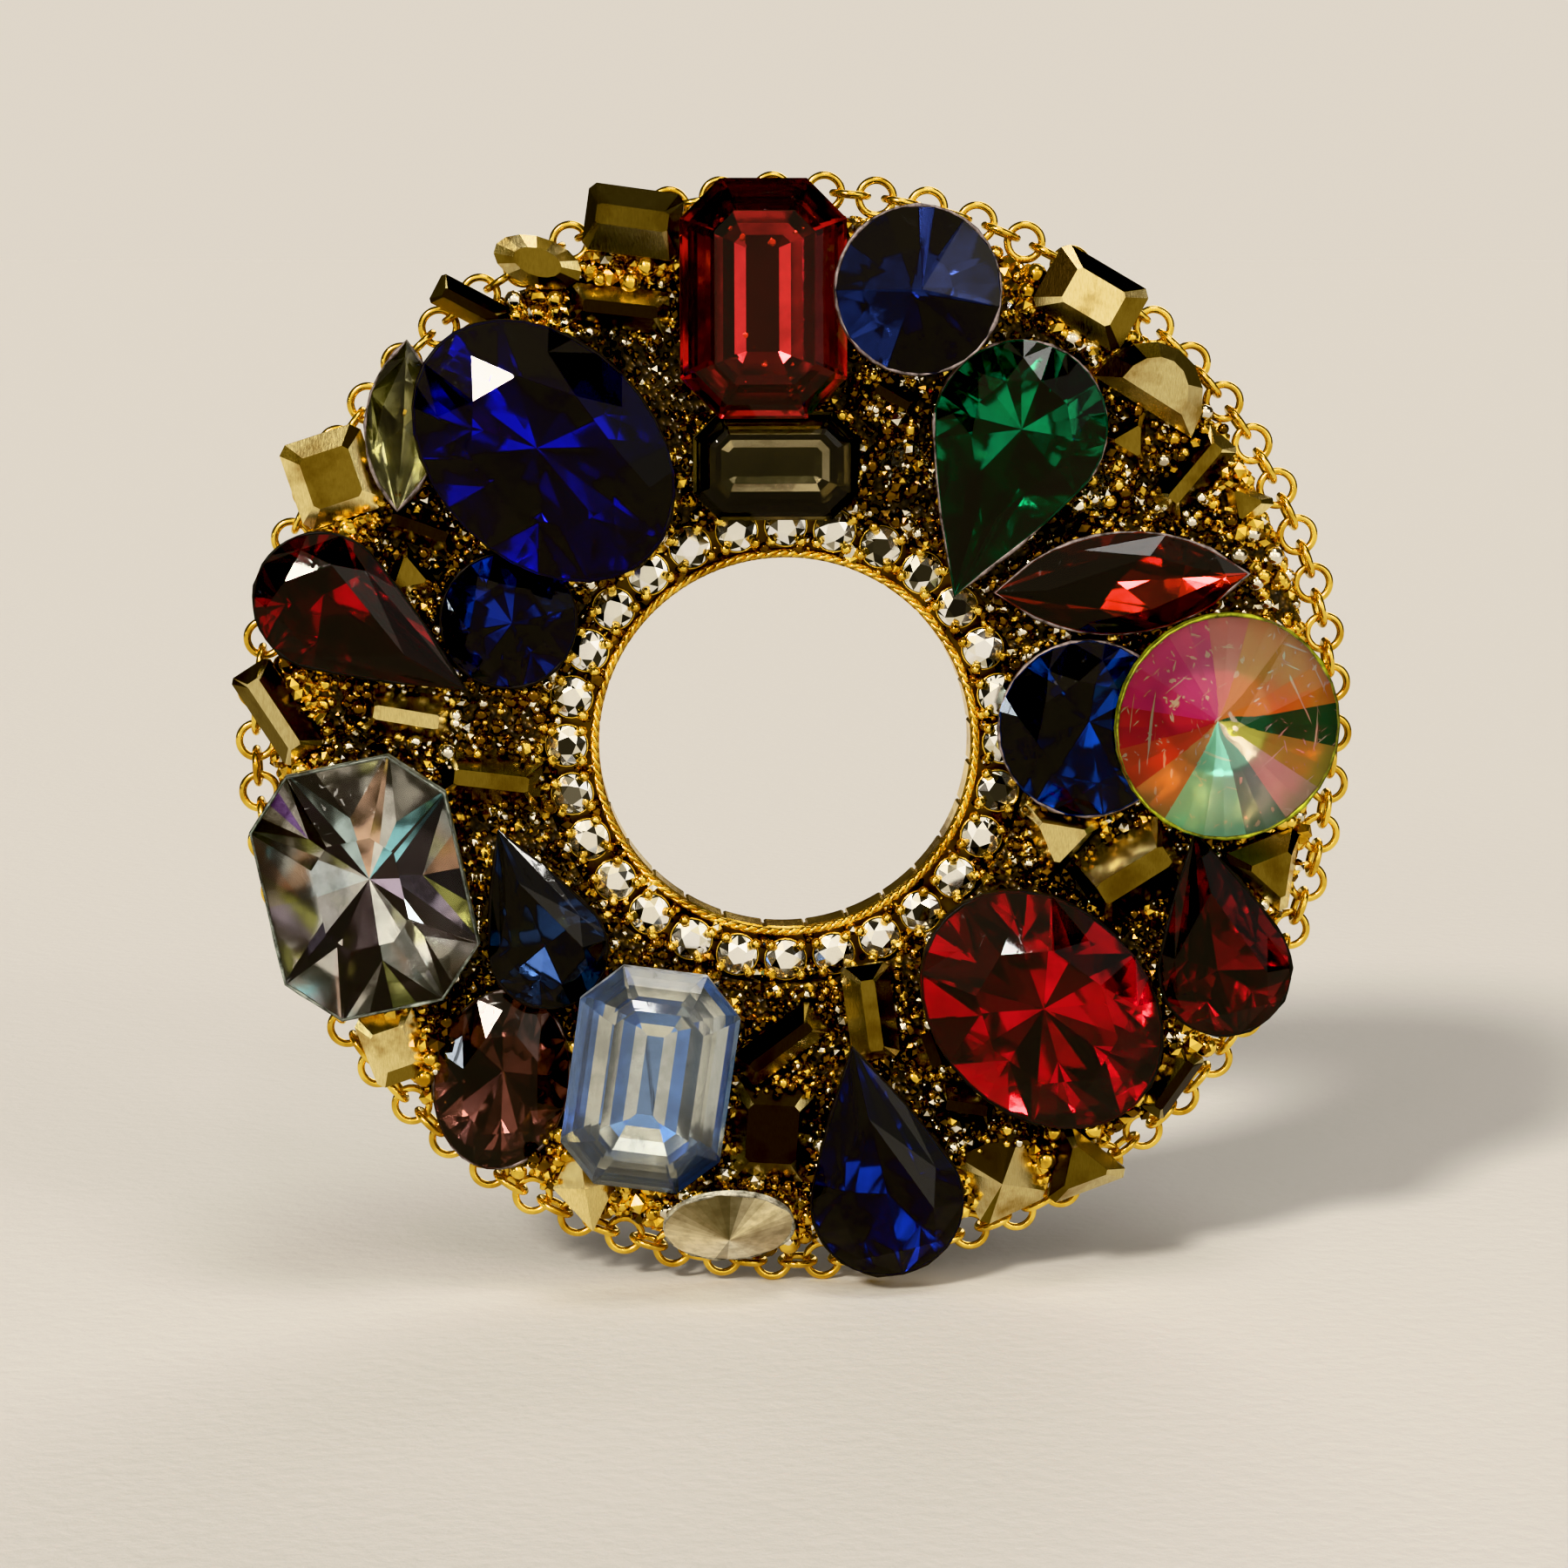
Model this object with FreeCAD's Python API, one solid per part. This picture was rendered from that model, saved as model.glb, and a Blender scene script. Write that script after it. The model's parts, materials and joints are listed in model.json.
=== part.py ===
import FreeCAD, Part
import math
import os
from collections import namedtuple

# A ring-shaped costume brooch: a round brass plate with a round hole, covered with glued glass
# stones, edged with a link chain outside and a rhinestone cup chain inside, with a bar pin behind.
#
# Everything is drawn lying on its back: u to the right, v up, w out of the front. The last step
# stands it up as it is worn: +X right, +Z up, and the front faces -Y. The origin is the centre of
# the hole, in the plane of the felt back. Lengths are in millimetres and angles in degrees.

Vector = FreeCAD.Vector
Rotation = FreeCAD.Rotation
Placement = FreeCAD.Placement

# ---- driving dimensions -----------------------------------------------------------------------

DISC_CENTRE = Vector(0.8, 0.3, 0.0)   # the outer circle is a little off the hole, as glued by hand
PLATE_R = 31.0
FELT_R = 30.8
HOLE_R = 11.2
COLLAR_WALL = 0.5
COLLAR_TOP = 3.3
FELT_THICK = 1.0
PLATE_THICK = 0.8
PLATE_TOP = FELT_THICK + PLATE_THICK
BED_TOP = 3.6                         # top of the clear glue that carries the gold granules
BED_R = 31.2
BED_SHOULDER = 1.4

LINK_RING_R = 32.5                    # the rim chain
LINK_PAIRS = 66
LINK_R = 1.03
LINK_WIRE_R = 0.225
LINK_HEIGHT = 2.2

CUP_COUNT = 28                        # the rhinestone cup chain round the hole
CUP_RING_R = 13.15
CUP_R = 1.4
CUP_BORE_R = 1.23
CUP_FLOOR = 0.4
CUP_TOP = 3.5
PRONG_TOP = 3.95
PRONG_WIDTH = 0.5
RHINESTONE_WIDTH = 2.4
RHINESTONE_GIRDLE = 3.42

PIN_V = 19.5                          # the bar pin lies across the back, above the hole
BAR_LENGTH = 34.0
BAR_WIDTH = 5.0
BAR_THICK = 0.6
BAR_HOLE_R = 0.8
BAR_HOLE_PITCH = 7.5
WINDOW_GAP = 0.6                      # felt cut back round the bar
STEM_W = -1.6                         # the stem's centre line, behind the felt
STEM_R = 0.4
HINGE_U = -14.0
EYE_R = 1.1
EYE_THICK = 1.2
NECK_R = 0.6
NECK_END_U = -12.3
TAPER_U = 10.0
TIP_U = 15.0
TIP_R = 0.06
EAR_GAP = 1.3
EAR_THICK = 0.5
EAR_R = 1.0
RIVET_R = 0.45
RIVET_CLEARANCE = 0.05
RIVET_HEAD_R = 0.8
RIVET_HEAD_THICK = 0.25

CATCH_U = 13.0
HOUSING_LENGTH = 3.0
HOUSING_R = 1.65
HOUSING_BORE_R = 1.15
HOUSING_SLOT = 1.4
FOOT_WIDTH = 2.0
TURN_CLEARANCE = 0.05
BARREL_BORE_R = 0.6
BARREL_SLOT = 1.2
FLANGE_R = 1.5
FLANGE_THICK = 0.7
LEVER_REACH = 2.9
LEVER_WIDTH = 1.0
LEVER_ANGLE = -75.0                  # from straight back; it rests pointing down

# ---- how the stones are cut: (scale across, scale along, height / width), lowest first --------

BRILLIANT = [(0, 0, -0.30), (1, 1, -0.02), (1, 1, 0.02), (0.6, 0.6, 0.16)]
STEP_CUT = [(0.25, 0.45, -0.26), (0.68, 0.74, -0.18), (1, 1, -0.03), (1, 1, 0.03),
            (0.82, 0.87, 0.13), (0.6, 0.7, 0.2)]
RIVOLI = [(0, 0, -0.2), (1, 1, -0.02), (1, 1, 0.02), (0, 0, 0.13)]
FLAT_BACK = [(0.8, 0.8, -0.22), (1, 1, -0.02), (1, 1, 0.02), (0.6, 0.6, 0.16)]
ROOF = [(0.75, 0.85, -0.4), (1, 1, -0.05), (1, 1, 0.1), (0.3, 0.75, 0.5)]
TABLE = [(0.75, 0.75, -0.3), (1, 1, -0.04), (1, 1, 0.06), (0.55, 0.55, 0.27)]
SLICE = [(0.85, 0.85, -0.2), (1, 1, -0.03), (1, 1, 0.03), (0.6, 0.6, 0.16)]
PYRAMID = [(0.7, 0.7, -0.3), (1, 1, -0.04), (1, 1, 0.06), (0, 0, 0.3)]


# ---- outlines, drawn round (0, 0) with the long way along v -----------------------------------

def oval_outline(width, length, count=16):
    """Points of an ellipse, or of a circle where width and length are equal."""
    turns = [2 * math.pi * (i + 0.5) / count for i in range(count)]
    return [(width / 2 * math.cos(a), length / 2 * math.sin(a)) for a in turns]


def octagon_outline(width, length, corner=0.24):
    """A rectangle with its corners cut off by a share of its width."""
    x = width / 2
    y = length / 2
    cut = corner * width
    return [(x, -y + cut), (x, y - cut), (x - cut, y), (cut - x, y),
            (-x, y - cut), (-x, cut - y), (cut - x, -y), (x - cut, -y)]


def box_outline(width, length):
    return octagon_outline(width, length, 0.1)


def pear_outline(width, length, count=12):
    """A round end about (0, 0) and a point at the top, with slightly bowed flanks."""
    r = width / 2
    tip = length - r
    start = math.acos(r / tip)
    sweep = 2 * math.pi - 2 * start
    arc = [math.pi / 2 - start - sweep * i / count for i in range(count + 1)]
    points = [(r * math.cos(a), r * math.sin(a)) for a in arc]
    flank = 0.5 * points[-1][0], 0.5 * (points[-1][1] + tip)
    bow = 1.1
    return ([(-flank[0] * bow, flank[1])] + points + [(flank[0] * bow, flank[1]), (0, tip)])


def navette_outline(width, length, count=6):
    """Two equal arcs that meet in a point at each end."""
    x = width / 2
    y = length / 2
    radius = (x * x + y * y) / (2 * x)
    half = math.asin(y / radius)
    steps = [half - 2 * half * i / count for i in range(count)]
    right = [(radius * math.cos(a) - radius + x, radius * math.sin(a)) for a in steps]
    return right + [(-p[0], -p[1]) for p in right]


def triangle_outline(width, length):
    """A triangle with its three points cut off, standing on its base."""
    x = width / 2
    y = length / 2
    cut = 0.12
    return [(x, -y + cut * length), (x * cut, y), (-x * cut, y), (-x, cut * length - y),
            (-x * (1 - cut), -y), (x * (1 - cut), -y)]


def half_moon_outline(width, length, count=8):
    """A half disc with its straight side at the bottom."""
    turns = [math.pi * i / count for i in range(count + 1)]
    return [(width / 2 * math.cos(a), length * (math.sin(a) - 0.5)) for a in turns]


def diamond_outline(width, length):
    return [(width / 2, 0), (0, length / 2), (-width / 2, 0), (0, -length / 2)]


OUTLINES = {"oval": oval_outline, "octagon": octagon_outline, "box": box_outline,
            "pear": pear_outline, "navette": navette_outline, "triangle": triangle_outline,
            "half_moon": half_moon_outline, "diamond": diamond_outline}

# Each stone: outline, cut, width, length, place of its middle (the round end of a pear),
# height of its girdle, turn anticlockwise from upright, and lean towards a direction.
Stone = namedtuple("Stone", "shape cut width length u v height turn lean towards")

STONES = {
    "blue_oval": Stone("oval", BRILLIANT, 13.0, 17.6, -14.3, 17.8, 7.3, 45, 0, 0),
    "pink_octagon": Stone("octagon", STEP_CUT, 9.8, 14.0, -1.5, 26.6, 7.2, 0, 3, 90),
    "navy_round": Stone("oval", RIVOLI, 10.0, 10.0, 7.4, 27.1, 8.6, 0, 6, 30),
    "green_pear": Stone("pear", BRILLIANT, 10.4, 16.0, 13.6, 19.1, 6.9, 159, 3, 200),
    "orange_navette": Stone("navette", BRILLIANT, 6.2, 15.6, 19.9, 9.8, 5.6, 94, 0, 0),
    "ab_rivoli": Stone("oval", RIVOLI, 13.7, 13.7, 25.9, 1.5, 8.2, 0, 4, 350),
    "sapphire_round": Stone("oval", BRILLIANT, 10.8, 10.8, 17.9, 1.1, 5.6, 0, 4, 180),
    "red_oval": Stone("oval", BRILLIANT, 12.8, 16.8, 15.2, -15.7, 6.9, 45, 3, 315),
    "garnet_pear": Stone("pear", BRILLIANT, 8.2, 12.9, 26.4, -13.6, 5.8, 13, 0, 0),
    "blue_pear": Stone("pear", BRILLIANT, 9.4, 14.9, 6.0, -27.6, 6.2, 12.6, 4, 270),
    "opal_octagon": Stone("octagon", STEP_CUT, 9.7, 13.6, -8.3, -19.5, 7.9, -8, 3, 270),
    "purple_oval": Stone("oval", BRILLIANT, 8.3, 11.4, -17.2, -20.1, 4.7, -10, 4, 225),
    "navy_pear": Stone("pear", BRILLIANT, 7.2, 11.6, -14.3, -11.9, 6.3, 22, 0, 0),
    "crystal_octagon": Stone("octagon", STEP_CUT, 12.0, 15.2, -25.1, -8.0, 6.6, 12, 4, 180),
    "ruby_pear": Stone("pear", BRILLIANT, 8.2, 14.2, -27.4, 9.0, 5.9, -122, 3, 180),
    "small_blue_round": Stone("oval", BRILLIANT, 8.2, 8.2, -16.5, 7.7, 5.0, 0, 0, 0),
    "crystal_navette": Stone("navette", BRILLIANT, 4.4, 10.2, -22.6, 19.2, 5.5, -4, 4, 180),
    "crystal_baguette": Stone("octagon", FLAT_BACK, 6.4, 9.8, -0.7, 16.8, 5.6, 90, 0, 0),
    "pearl_round": Stone("oval", RIVOLI, 8.0, 8.0, -3.6, -28.8, 6.6, 0, 46, 270),
    "mirror_square_top": Stone("box", ROOF, 3.9, 5.6, -9.0, 31.0, 5.2, 82, 8, 110),
    "mirror_bar_top": Stone("box", ROOF, 2.5, 5.8, -9.8, 26.0, 4.6, 84, 0, 0),
    "mirror_oval_top": Stone("oval", TABLE, 2.9, 5.3, -14.6, 28.7, 4.9, 72, 0, 0),
    "mirror_square_left": Stone("box", SLICE, 5.0, 5.2, -26.8, 16.2, 4.6, 18, 0, 0),
    "mirror_bar_left": Stone("box", ROOF, 2.7, 6.2, -30.2, 2.3, 4.6, 33, 6, 180),
    "mirror_bar_inner_left": Stone("box", ROOF, 2.9, 5.2, -22.6, 2.0, 3.8, 80, 0, 0),
    "mirror_bar_lower_left": Stone("box", ROOF, 3.1, 5.9, -17.6, -1.8, 4.1, 83, 0, 0),
    "mirror_square_lower_left": Stone("box", TABLE, 3.7, 4.5, -23.6, -18.0, 4.2, 20, 6, 220),
    "mirror_diamond_bottom": Stone("diamond", PYRAMID, 4.0, 6.2, -12.2, -26.6, 4.4, 8, 6, 250),
    "mirror_bar_bottom": Stone("box", ROOF, 2.4, 5.8, -0.4, -18.0, 4.9, 127, 0, 0),
    "mirror_bar_inner_bottom": Stone("box", ROOF, 2.9, 5.8, 5.0, -16.0, 5.3, 8, 0, 0),
    "mirror_square_bottom": Stone("box", SLICE, 5.2, 6.0, -0.9, -23.6, 4.2, -4, 0, 0),
    "mirror_square_lower_right": Stone("box", PYRAMID, 4.4, 4.8, 13.0, -26.6, 4.3, 25, 6, 290),
    "mirror_trilliant_lower_right": Stone("triangle", TABLE, 5.0, 4.2, 17.7, -25.3, 5.0, 20, 5, 300),
    "mirror_trilliant_inner_right": Stone("triangle", TABLE, 5.3, 4.0, 16.4, -5.9, 4.0, 170, 0, 0),
    "mirror_square_right": Stone("box", ROOF, 4.6, 6.2, 20.8, -7.7, 3.8, 122, 0, 0),
    "mirror_trilliant_right": Stone("triangle", TABLE, 4.8, 4.5, 29.2, -7.9, 5.1, 200, 6, 0),
    "mirror_square_upper_right": Stone("box", TABLE, 4.2, 6.0, 17.9, 26.6, 4.9, 60, 5, 50),
    "mirror_half_moon": Stone("half_moon", SLICE, 6.9, 4.0, 22.1, 21.9, 5.1, -32, 0, 0),
    "mirror_bar_upper_right": Stone("box", ROOF, 2.5, 5.6, 24.2, 16.3, 4.3, 140, 0, 0),
}

# Chips too small to name one by one share a node with the rest of their kind.
CHIP_GROUPS = {
    "small_mirror_bars": [
        Stone("box", ROOF, 1.9, 4.5, -18.6, 26.2, 4.3, 62, 0, 0),
        Stone("box", ROOF, 2.2, 4.6, -21.7, 13.2, 4.0, 70, 0, 0),
        Stone("box", ROOF, 2.2, 2.9, 8.7, -18.4, 4.2, 20, 0, 0),
        Stone("box", ROOF, 2.2, 3.4, 10.9, -22.1, 4.0, 80, 0, 0),
        Stone("box", ROOF, 2.0, 4.6, 23.4, -20.7, 4.4, -35, 6, 320),
        Stone("box", ROOF, 1.8, 3.0, 6.2, 20.8, 4.3, 60, 0, 0),
    ],
    "small_mirror_trilliants": [
        Stone("triangle", TABLE, 3.4, 3.0, -22.4, 10.6, 3.9, 10, 0, 0),
        Stone("triangle", TABLE, 3.2, 2.8, 20.6, 18.0, 3.6, -150, 0, 0),
        Stone("triangle", TABLE, 3.0, 2.8, 27.2, 14.6, 4.3, 40, 0, 0),
    ],
    "crystal_chips": [
        Stone("oval", BRILLIANT, 2.6, 2.6, 18.7, 14.9, 4.2, 0, 0, 0),
        Stone("oval", BRILLIANT, 2.6, 2.6, 6.9, 16.9, 4.2, 0, 0, 0),
    ],
}


# ---- solids ------------------------------------------------------------------------------------

def flat_faces(points):
    """One flat face, or two triangles where four points don't lie in one plane."""
    if len(points) == 4:
        normal = (points[1] - points[0]).cross(points[2] - points[0])
        if abs(normal.dot(points[3] - points[0])) > 1e-6 * normal.Length:
            halves = [points[0:3], [points[0], points[2], points[3]]]
            return [face for half in halves for face in flat_faces(half)]
    return [Part.Face(Part.makePolygon(points + points[:1]))]


def solid_from_rings(rings):
    """A closed solid whose skin joins rings of points, lowest first. A ring may be one point."""
    faces = []
    for low, high in zip(rings, rings[1:]):
        count = max(len(low), len(high))
        for i in range(count):
            j = (i + 1) % count
            corners = [low[i % len(low)], low[j % len(low)], high[j % len(high)], high[i % len(high)]]
            corner_list = [p for n, p in enumerate(corners) if p != corners[n - 1]]
            faces += flat_faces(corner_list)
    for cap in (rings[0], rings[-1]):
        if len(cap) > 1:
            faces.append(Part.Face(Part.makePolygon(cap + cap[:1])))
    solid = Part.Solid(Part.Shell(faces))
    if solid.Volume < 0:
        solid.reverse()
    return solid


def cut_stone(stone):
    """A faceted stone about its own middle, with its girdle at height 0."""
    outline = OUTLINES[stone.shape](stone.width, stone.length)
    rings = []
    for across, along, height in stone.cut:
        level = height * stone.width
        if across == 0:
            rings.append([Vector(0, 0, level)])
        else:
            rings.append([Vector(across * x, along * y, level) for x, y in outline])
    return solid_from_rings(rings)


def set_stone(stone):
    """The stone where it is glued: turned, leaned over and lifted to its height."""
    towards = math.radians(stone.towards)
    lean = Rotation(Vector(-math.sin(towards), math.cos(towards), 0), stone.lean)
    turn = Rotation(Vector(0, 0, 1), stone.turn)
    solid = cut_stone(stone)
    solid.Placement = Placement(Vector(stone.u, stone.v, stone.height), lean.multiply(turn))
    return solid


def disc(radius, low, high, centre=Vector(0, 0, 0)):
    return Part.makeCylinder(radius, high - low, centre + Vector(0, 0, low))


def rod_u(radius, start, end):
    """A round bar along u on the stem's centre line."""
    return Part.makeCylinder(radius, end - start, Vector(start, PIN_V, STEM_W), Vector(1, 0, 0))


def rod_v(radius, start, end):
    """A round bar along v through the hinge, from start to end about the pin's middle."""
    place = Vector(HINGE_U, PIN_V + start, STEM_W)
    return Part.makeCylinder(radius, end - start, place, Vector(0, 1, 0))


def block(size, low):
    return Part.makeBox(size[0], size[1], size[2], Vector(*low))


def bar_outline(grow=0.0):
    """The bar's plan with round ends, as a solid from the plate down past the felt."""
    half = BAR_WIDTH / 2
    reach = BAR_LENGTH / 2 - half
    plan = disc(half + grow, 0, FELT_THICK, Vector(-reach, PIN_V, 0))
    plan = plan.fuse(disc(half + grow, 0, FELT_THICK, Vector(reach, PIN_V, 0)))
    middle = block((2 * reach, 2 * (half + grow), FELT_THICK), (-reach, PIN_V - half - grow, 0))
    return plan.fuse(middle).removeSplitter()


def base_plate():
    return disc(PLATE_R, FELT_THICK, PLATE_TOP, DISC_CENTRE).cut(
        disc(HOLE_R + COLLAR_WALL, FELT_THICK, PLATE_TOP))


def back_felt():
    felt = disc(FELT_R, 0, FELT_THICK, DISC_CENTRE)
    return felt.cut([disc(HOLE_R + COLLAR_WALL, 0, FELT_THICK), bar_outline(WINDOW_GAP)])


def hole_collar():
    return disc(HOLE_R + COLLAR_WALL, 0, COLLAR_TOP).cut(disc(HOLE_R, 0, COLLAR_TOP))


def granule_bed(stones):
    """The glue between plate and stones: flat on top, rounded at the rim, moulded to each stone."""
    profile_points = [Vector(0, 0, PLATE_TOP), Vector(BED_R, 0, PLATE_TOP),
                      Vector(BED_R, 0, BED_TOP - BED_SHOULDER)]
    shoulder_low = profile_points[-1]
    shoulder_high = Vector(BED_R - BED_SHOULDER, 0, BED_TOP)
    bend = math.sqrt(0.5) * BED_SHOULDER
    shoulder_mid = Vector(shoulder_high.x + bend, 0, shoulder_low.z + bend)
    edges = Part.makePolygon(profile_points).Edges
    edges.append(Part.Arc(shoulder_low, shoulder_mid, shoulder_high).toShape())
    edges += Part.makePolygon([shoulder_high, Vector(0, 0, BED_TOP), Vector(0, 0, PLATE_TOP)]).Edges
    bed = Part.Face(Part.Wire(edges)).revolve(Vector(0, 0, 0), Vector(0, 0, 1), 360)
    bed.translate(DISC_CENTRE)
    bed = bed.cut(disc(CUP_RING_R + CUP_R + 0.1, PLATE_TOP, BED_TOP))
    return bed.cut([s for s in stones if s.BoundBox.ZMin < BED_TOP])


def rim_links(upright):
    """Half the rim chain: the links that lie flat, or those that stand on edge between them."""
    links = []
    for i in range(LINK_PAIRS):
        angle = 2 * math.pi * (i + (0.5 if upright else 0.0)) / LINK_PAIRS
        out = Vector(math.cos(angle), math.sin(angle), 0)
        centre = DISC_CENTRE + out * LINK_RING_R + Vector(0, 0, LINK_HEIGHT)
        axis = out if upright else Vector(0, 0, 1)
        links.append(Part.makeTorus(LINK_R, LINK_WIRE_R, centre, axis))
    return Part.makeCompound(links)


def cup_places():
    step = 360.0 / CUP_COUNT
    for i in range(CUP_COUNT):
        angle = math.radians(i * step)
        place = Vector(CUP_RING_R * math.cos(angle), CUP_RING_R * math.sin(angle), 0)
        yield Placement(place, Rotation(Vector(0, 0, 1), i * step))


def one_cup():
    """A round gold cup with four upright prongs on its rim."""
    cup = disc(CUP_R, PLATE_TOP, CUP_TOP)
    middle = (CUP_R + CUP_BORE_R) / 2
    wall = CUP_R - CUP_BORE_R
    for corner in range(4):
        prong = block((wall, PRONG_WIDTH, PRONG_TOP - CUP_TOP + 0.2),
                      (middle - wall / 2, -PRONG_WIDTH / 2, CUP_TOP - 0.2))
        prong.rotate(Vector(0, 0, 0), Vector(0, 0, 1), 45 + 90 * corner)
        cup = cup.fuse(prong)
    return cup.cut(disc(CUP_BORE_R, PLATE_TOP + CUP_FLOOR, PRONG_TOP + 1))


def placed_copies(shape, placements):
    copies = []
    for place in placements:
        copy = shape.copy()
        copy.Placement = place
        copies.append(copy)
    return Part.makeCompound(copies)


def rhinestone():
    stone = Stone("oval", BRILLIANT, RHINESTONE_WIDTH, RHINESTONE_WIDTH, 0, 0, 0, 0, 0, 0)
    solid = cut_stone(stone)
    solid.translate(Vector(0, 0, RHINESTONE_GIRDLE))
    return Part.makeCompound([solid])


def pin_bar():
    """The bar glued behind the plate, with its hinge ears bent up from it."""
    back = FELT_THICK - BAR_THICK
    bar = bar_outline().common(disc(PLATE_R, back, FELT_THICK))
    for i in (-1, 0, 1):
        bar = bar.cut(disc(BAR_HOLE_R, back, FELT_THICK, Vector(i * BAR_HOLE_PITCH, PIN_V, 0)))
    for low in (EAR_GAP / 2, -EAR_GAP / 2 - EAR_THICK):
        ear = rod_v(EAR_R, low, low + EAR_THICK)
        root = block((2 * EAR_R, EAR_THICK, back - STEM_W), (HINGE_U - EAR_R, PIN_V + low, STEM_W))
        bar = bar.fuse(ear.fuse(root))
    return bar.cut(rod_v(RIVET_R, -EAR_GAP, EAR_GAP)).removeSplitter()


def hinge_rivet():
    reach = EAR_GAP / 2 + EAR_THICK
    shank = rod_v(RIVET_R, -reach, reach)
    heads = [rod_v(RIVET_HEAD_R, reach, reach + RIVET_HEAD_THICK),
             rod_v(RIVET_HEAD_R, -reach - RIVET_HEAD_THICK, -reach)]
    return shank.fuse(heads)


def pin_stem():
    """The sharp stem: an eye on the rivet, a short tapered neck, a straight wire and a long point."""
    eye = rod_v(EYE_R, -EYE_THICK / 2, EYE_THICK / 2)
    neck = Part.makeCone(NECK_R, STEM_R, NECK_END_U - HINGE_U,
                         Vector(HINGE_U, PIN_V, STEM_W), Vector(1, 0, 0))
    wire = rod_u(STEM_R, NECK_END_U, TAPER_U)
    taper = Part.makeCone(STEM_R, TIP_R, TIP_U - TAPER_U,
                          Vector(TAPER_U, PIN_V, STEM_W), Vector(1, 0, 0))
    stem = eye.fuse([neck, wire, taper])
    return stem.cut(rod_v(RIVET_R + RIVET_CLEARANCE, -EYE_THICK, EYE_THICK)).removeSplitter()


def stem_slot(width, start, end):
    """The open side of the catch, through which the stem drops in from behind."""
    return block((end - start, width, HOUSING_R + LEVER_REACH),
                 (start, PIN_V - width / 2, STEM_W - HOUSING_R - LEVER_REACH))


def catch_housing():
    """A split ring on a foot, standing on the bar."""
    start = CATCH_U - HOUSING_LENGTH / 2
    end = CATCH_U + HOUSING_LENGTH / 2
    foot_top = FELT_THICK - BAR_THICK
    foot = block((HOUSING_LENGTH, FOOT_WIDTH, foot_top - STEM_W), (start, PIN_V - FOOT_WIDTH / 2, STEM_W))
    body = rod_u(HOUSING_R, start, end).fuse(foot)
    return body.cut([rod_u(HOUSING_BORE_R, start, end), stem_slot(HOUSING_SLOT, start, end)])


def catch_barrel():
    """The slotted barrel that rolls inside the housing, with a flange at each end and a lever."""
    start = CATCH_U - HOUSING_LENGTH / 2 - TURN_CLEARANCE
    end = CATCH_U + HOUSING_LENGTH / 2 + TURN_CLEARANCE
    barrel = rod_u(HOUSING_BORE_R - TURN_CLEARANCE, start, end)
    inner_flange = rod_u(FLANGE_R, start - FLANGE_THICK, start)
    outer_flange = rod_u(FLANGE_R, end, end + FLANGE_THICK)
    lever = block((FLANGE_THICK, LEVER_WIDTH, LEVER_REACH),
                  (end, PIN_V - LEVER_WIDTH / 2, STEM_W - LEVER_REACH))
    lever.rotate(Vector(end, PIN_V, STEM_W), Vector(1, 0, 0), LEVER_ANGLE)
    barrel = barrel.fuse([inner_flange, outer_flange, lever])
    first = start - FLANGE_THICK
    last = end + FLANGE_THICK
    return barrel.cut([rod_u(BARREL_BORE_R, first, last), stem_slot(BARREL_SLOT, first, last)])


def all_parts():
    stones = {name: set_stone(stone) for name, stone in STONES.items()}
    groups = {name: [set_stone(chip) for chip in chips] for name, chips in CHIP_GROUPS.items()}
    glued = list(stones.values()) + [chip for chips in groups.values() for chip in chips]
    parts = {
        "base_plate": base_plate(),
        "back_felt": back_felt(),
        "hole_collar": hole_collar(),
        "granule_bed": granule_bed(glued),
        "rim_chain_flat_links": rim_links(upright=False),
        "rim_chain_upright_links": rim_links(upright=True),
        "cup_chain_cups": placed_copies(one_cup(), cup_places()),
        "cup_chain_rhinestones": placed_copies(rhinestone(), cup_places()),
        "pin_bar": pin_bar(),
        "hinge_rivet": hinge_rivet(),
        "pin_stem": pin_stem(),
        "catch_housing": catch_housing(),
        "catch_barrel": catch_barrel(),
    }
    parts.update(stones)
    parts.update({name: Part.makeCompound(chips) for name, chips in groups.items()})
    return parts


os.makedirs("parts", exist_ok=True)
for part_name, part_shape in all_parts().items():
    part_shape.rotate(Vector(0, 0, 0), Vector(1, 0, 0), 90)
    part_shape.exportStep(f"parts/{part_name}.step")
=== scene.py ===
import json
import math
import random
from collections import namedtuple

import bmesh
import bpy
from mathutils import Matrix, Vector, noise
from mathutils.bvhtree import BVHTree


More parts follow.
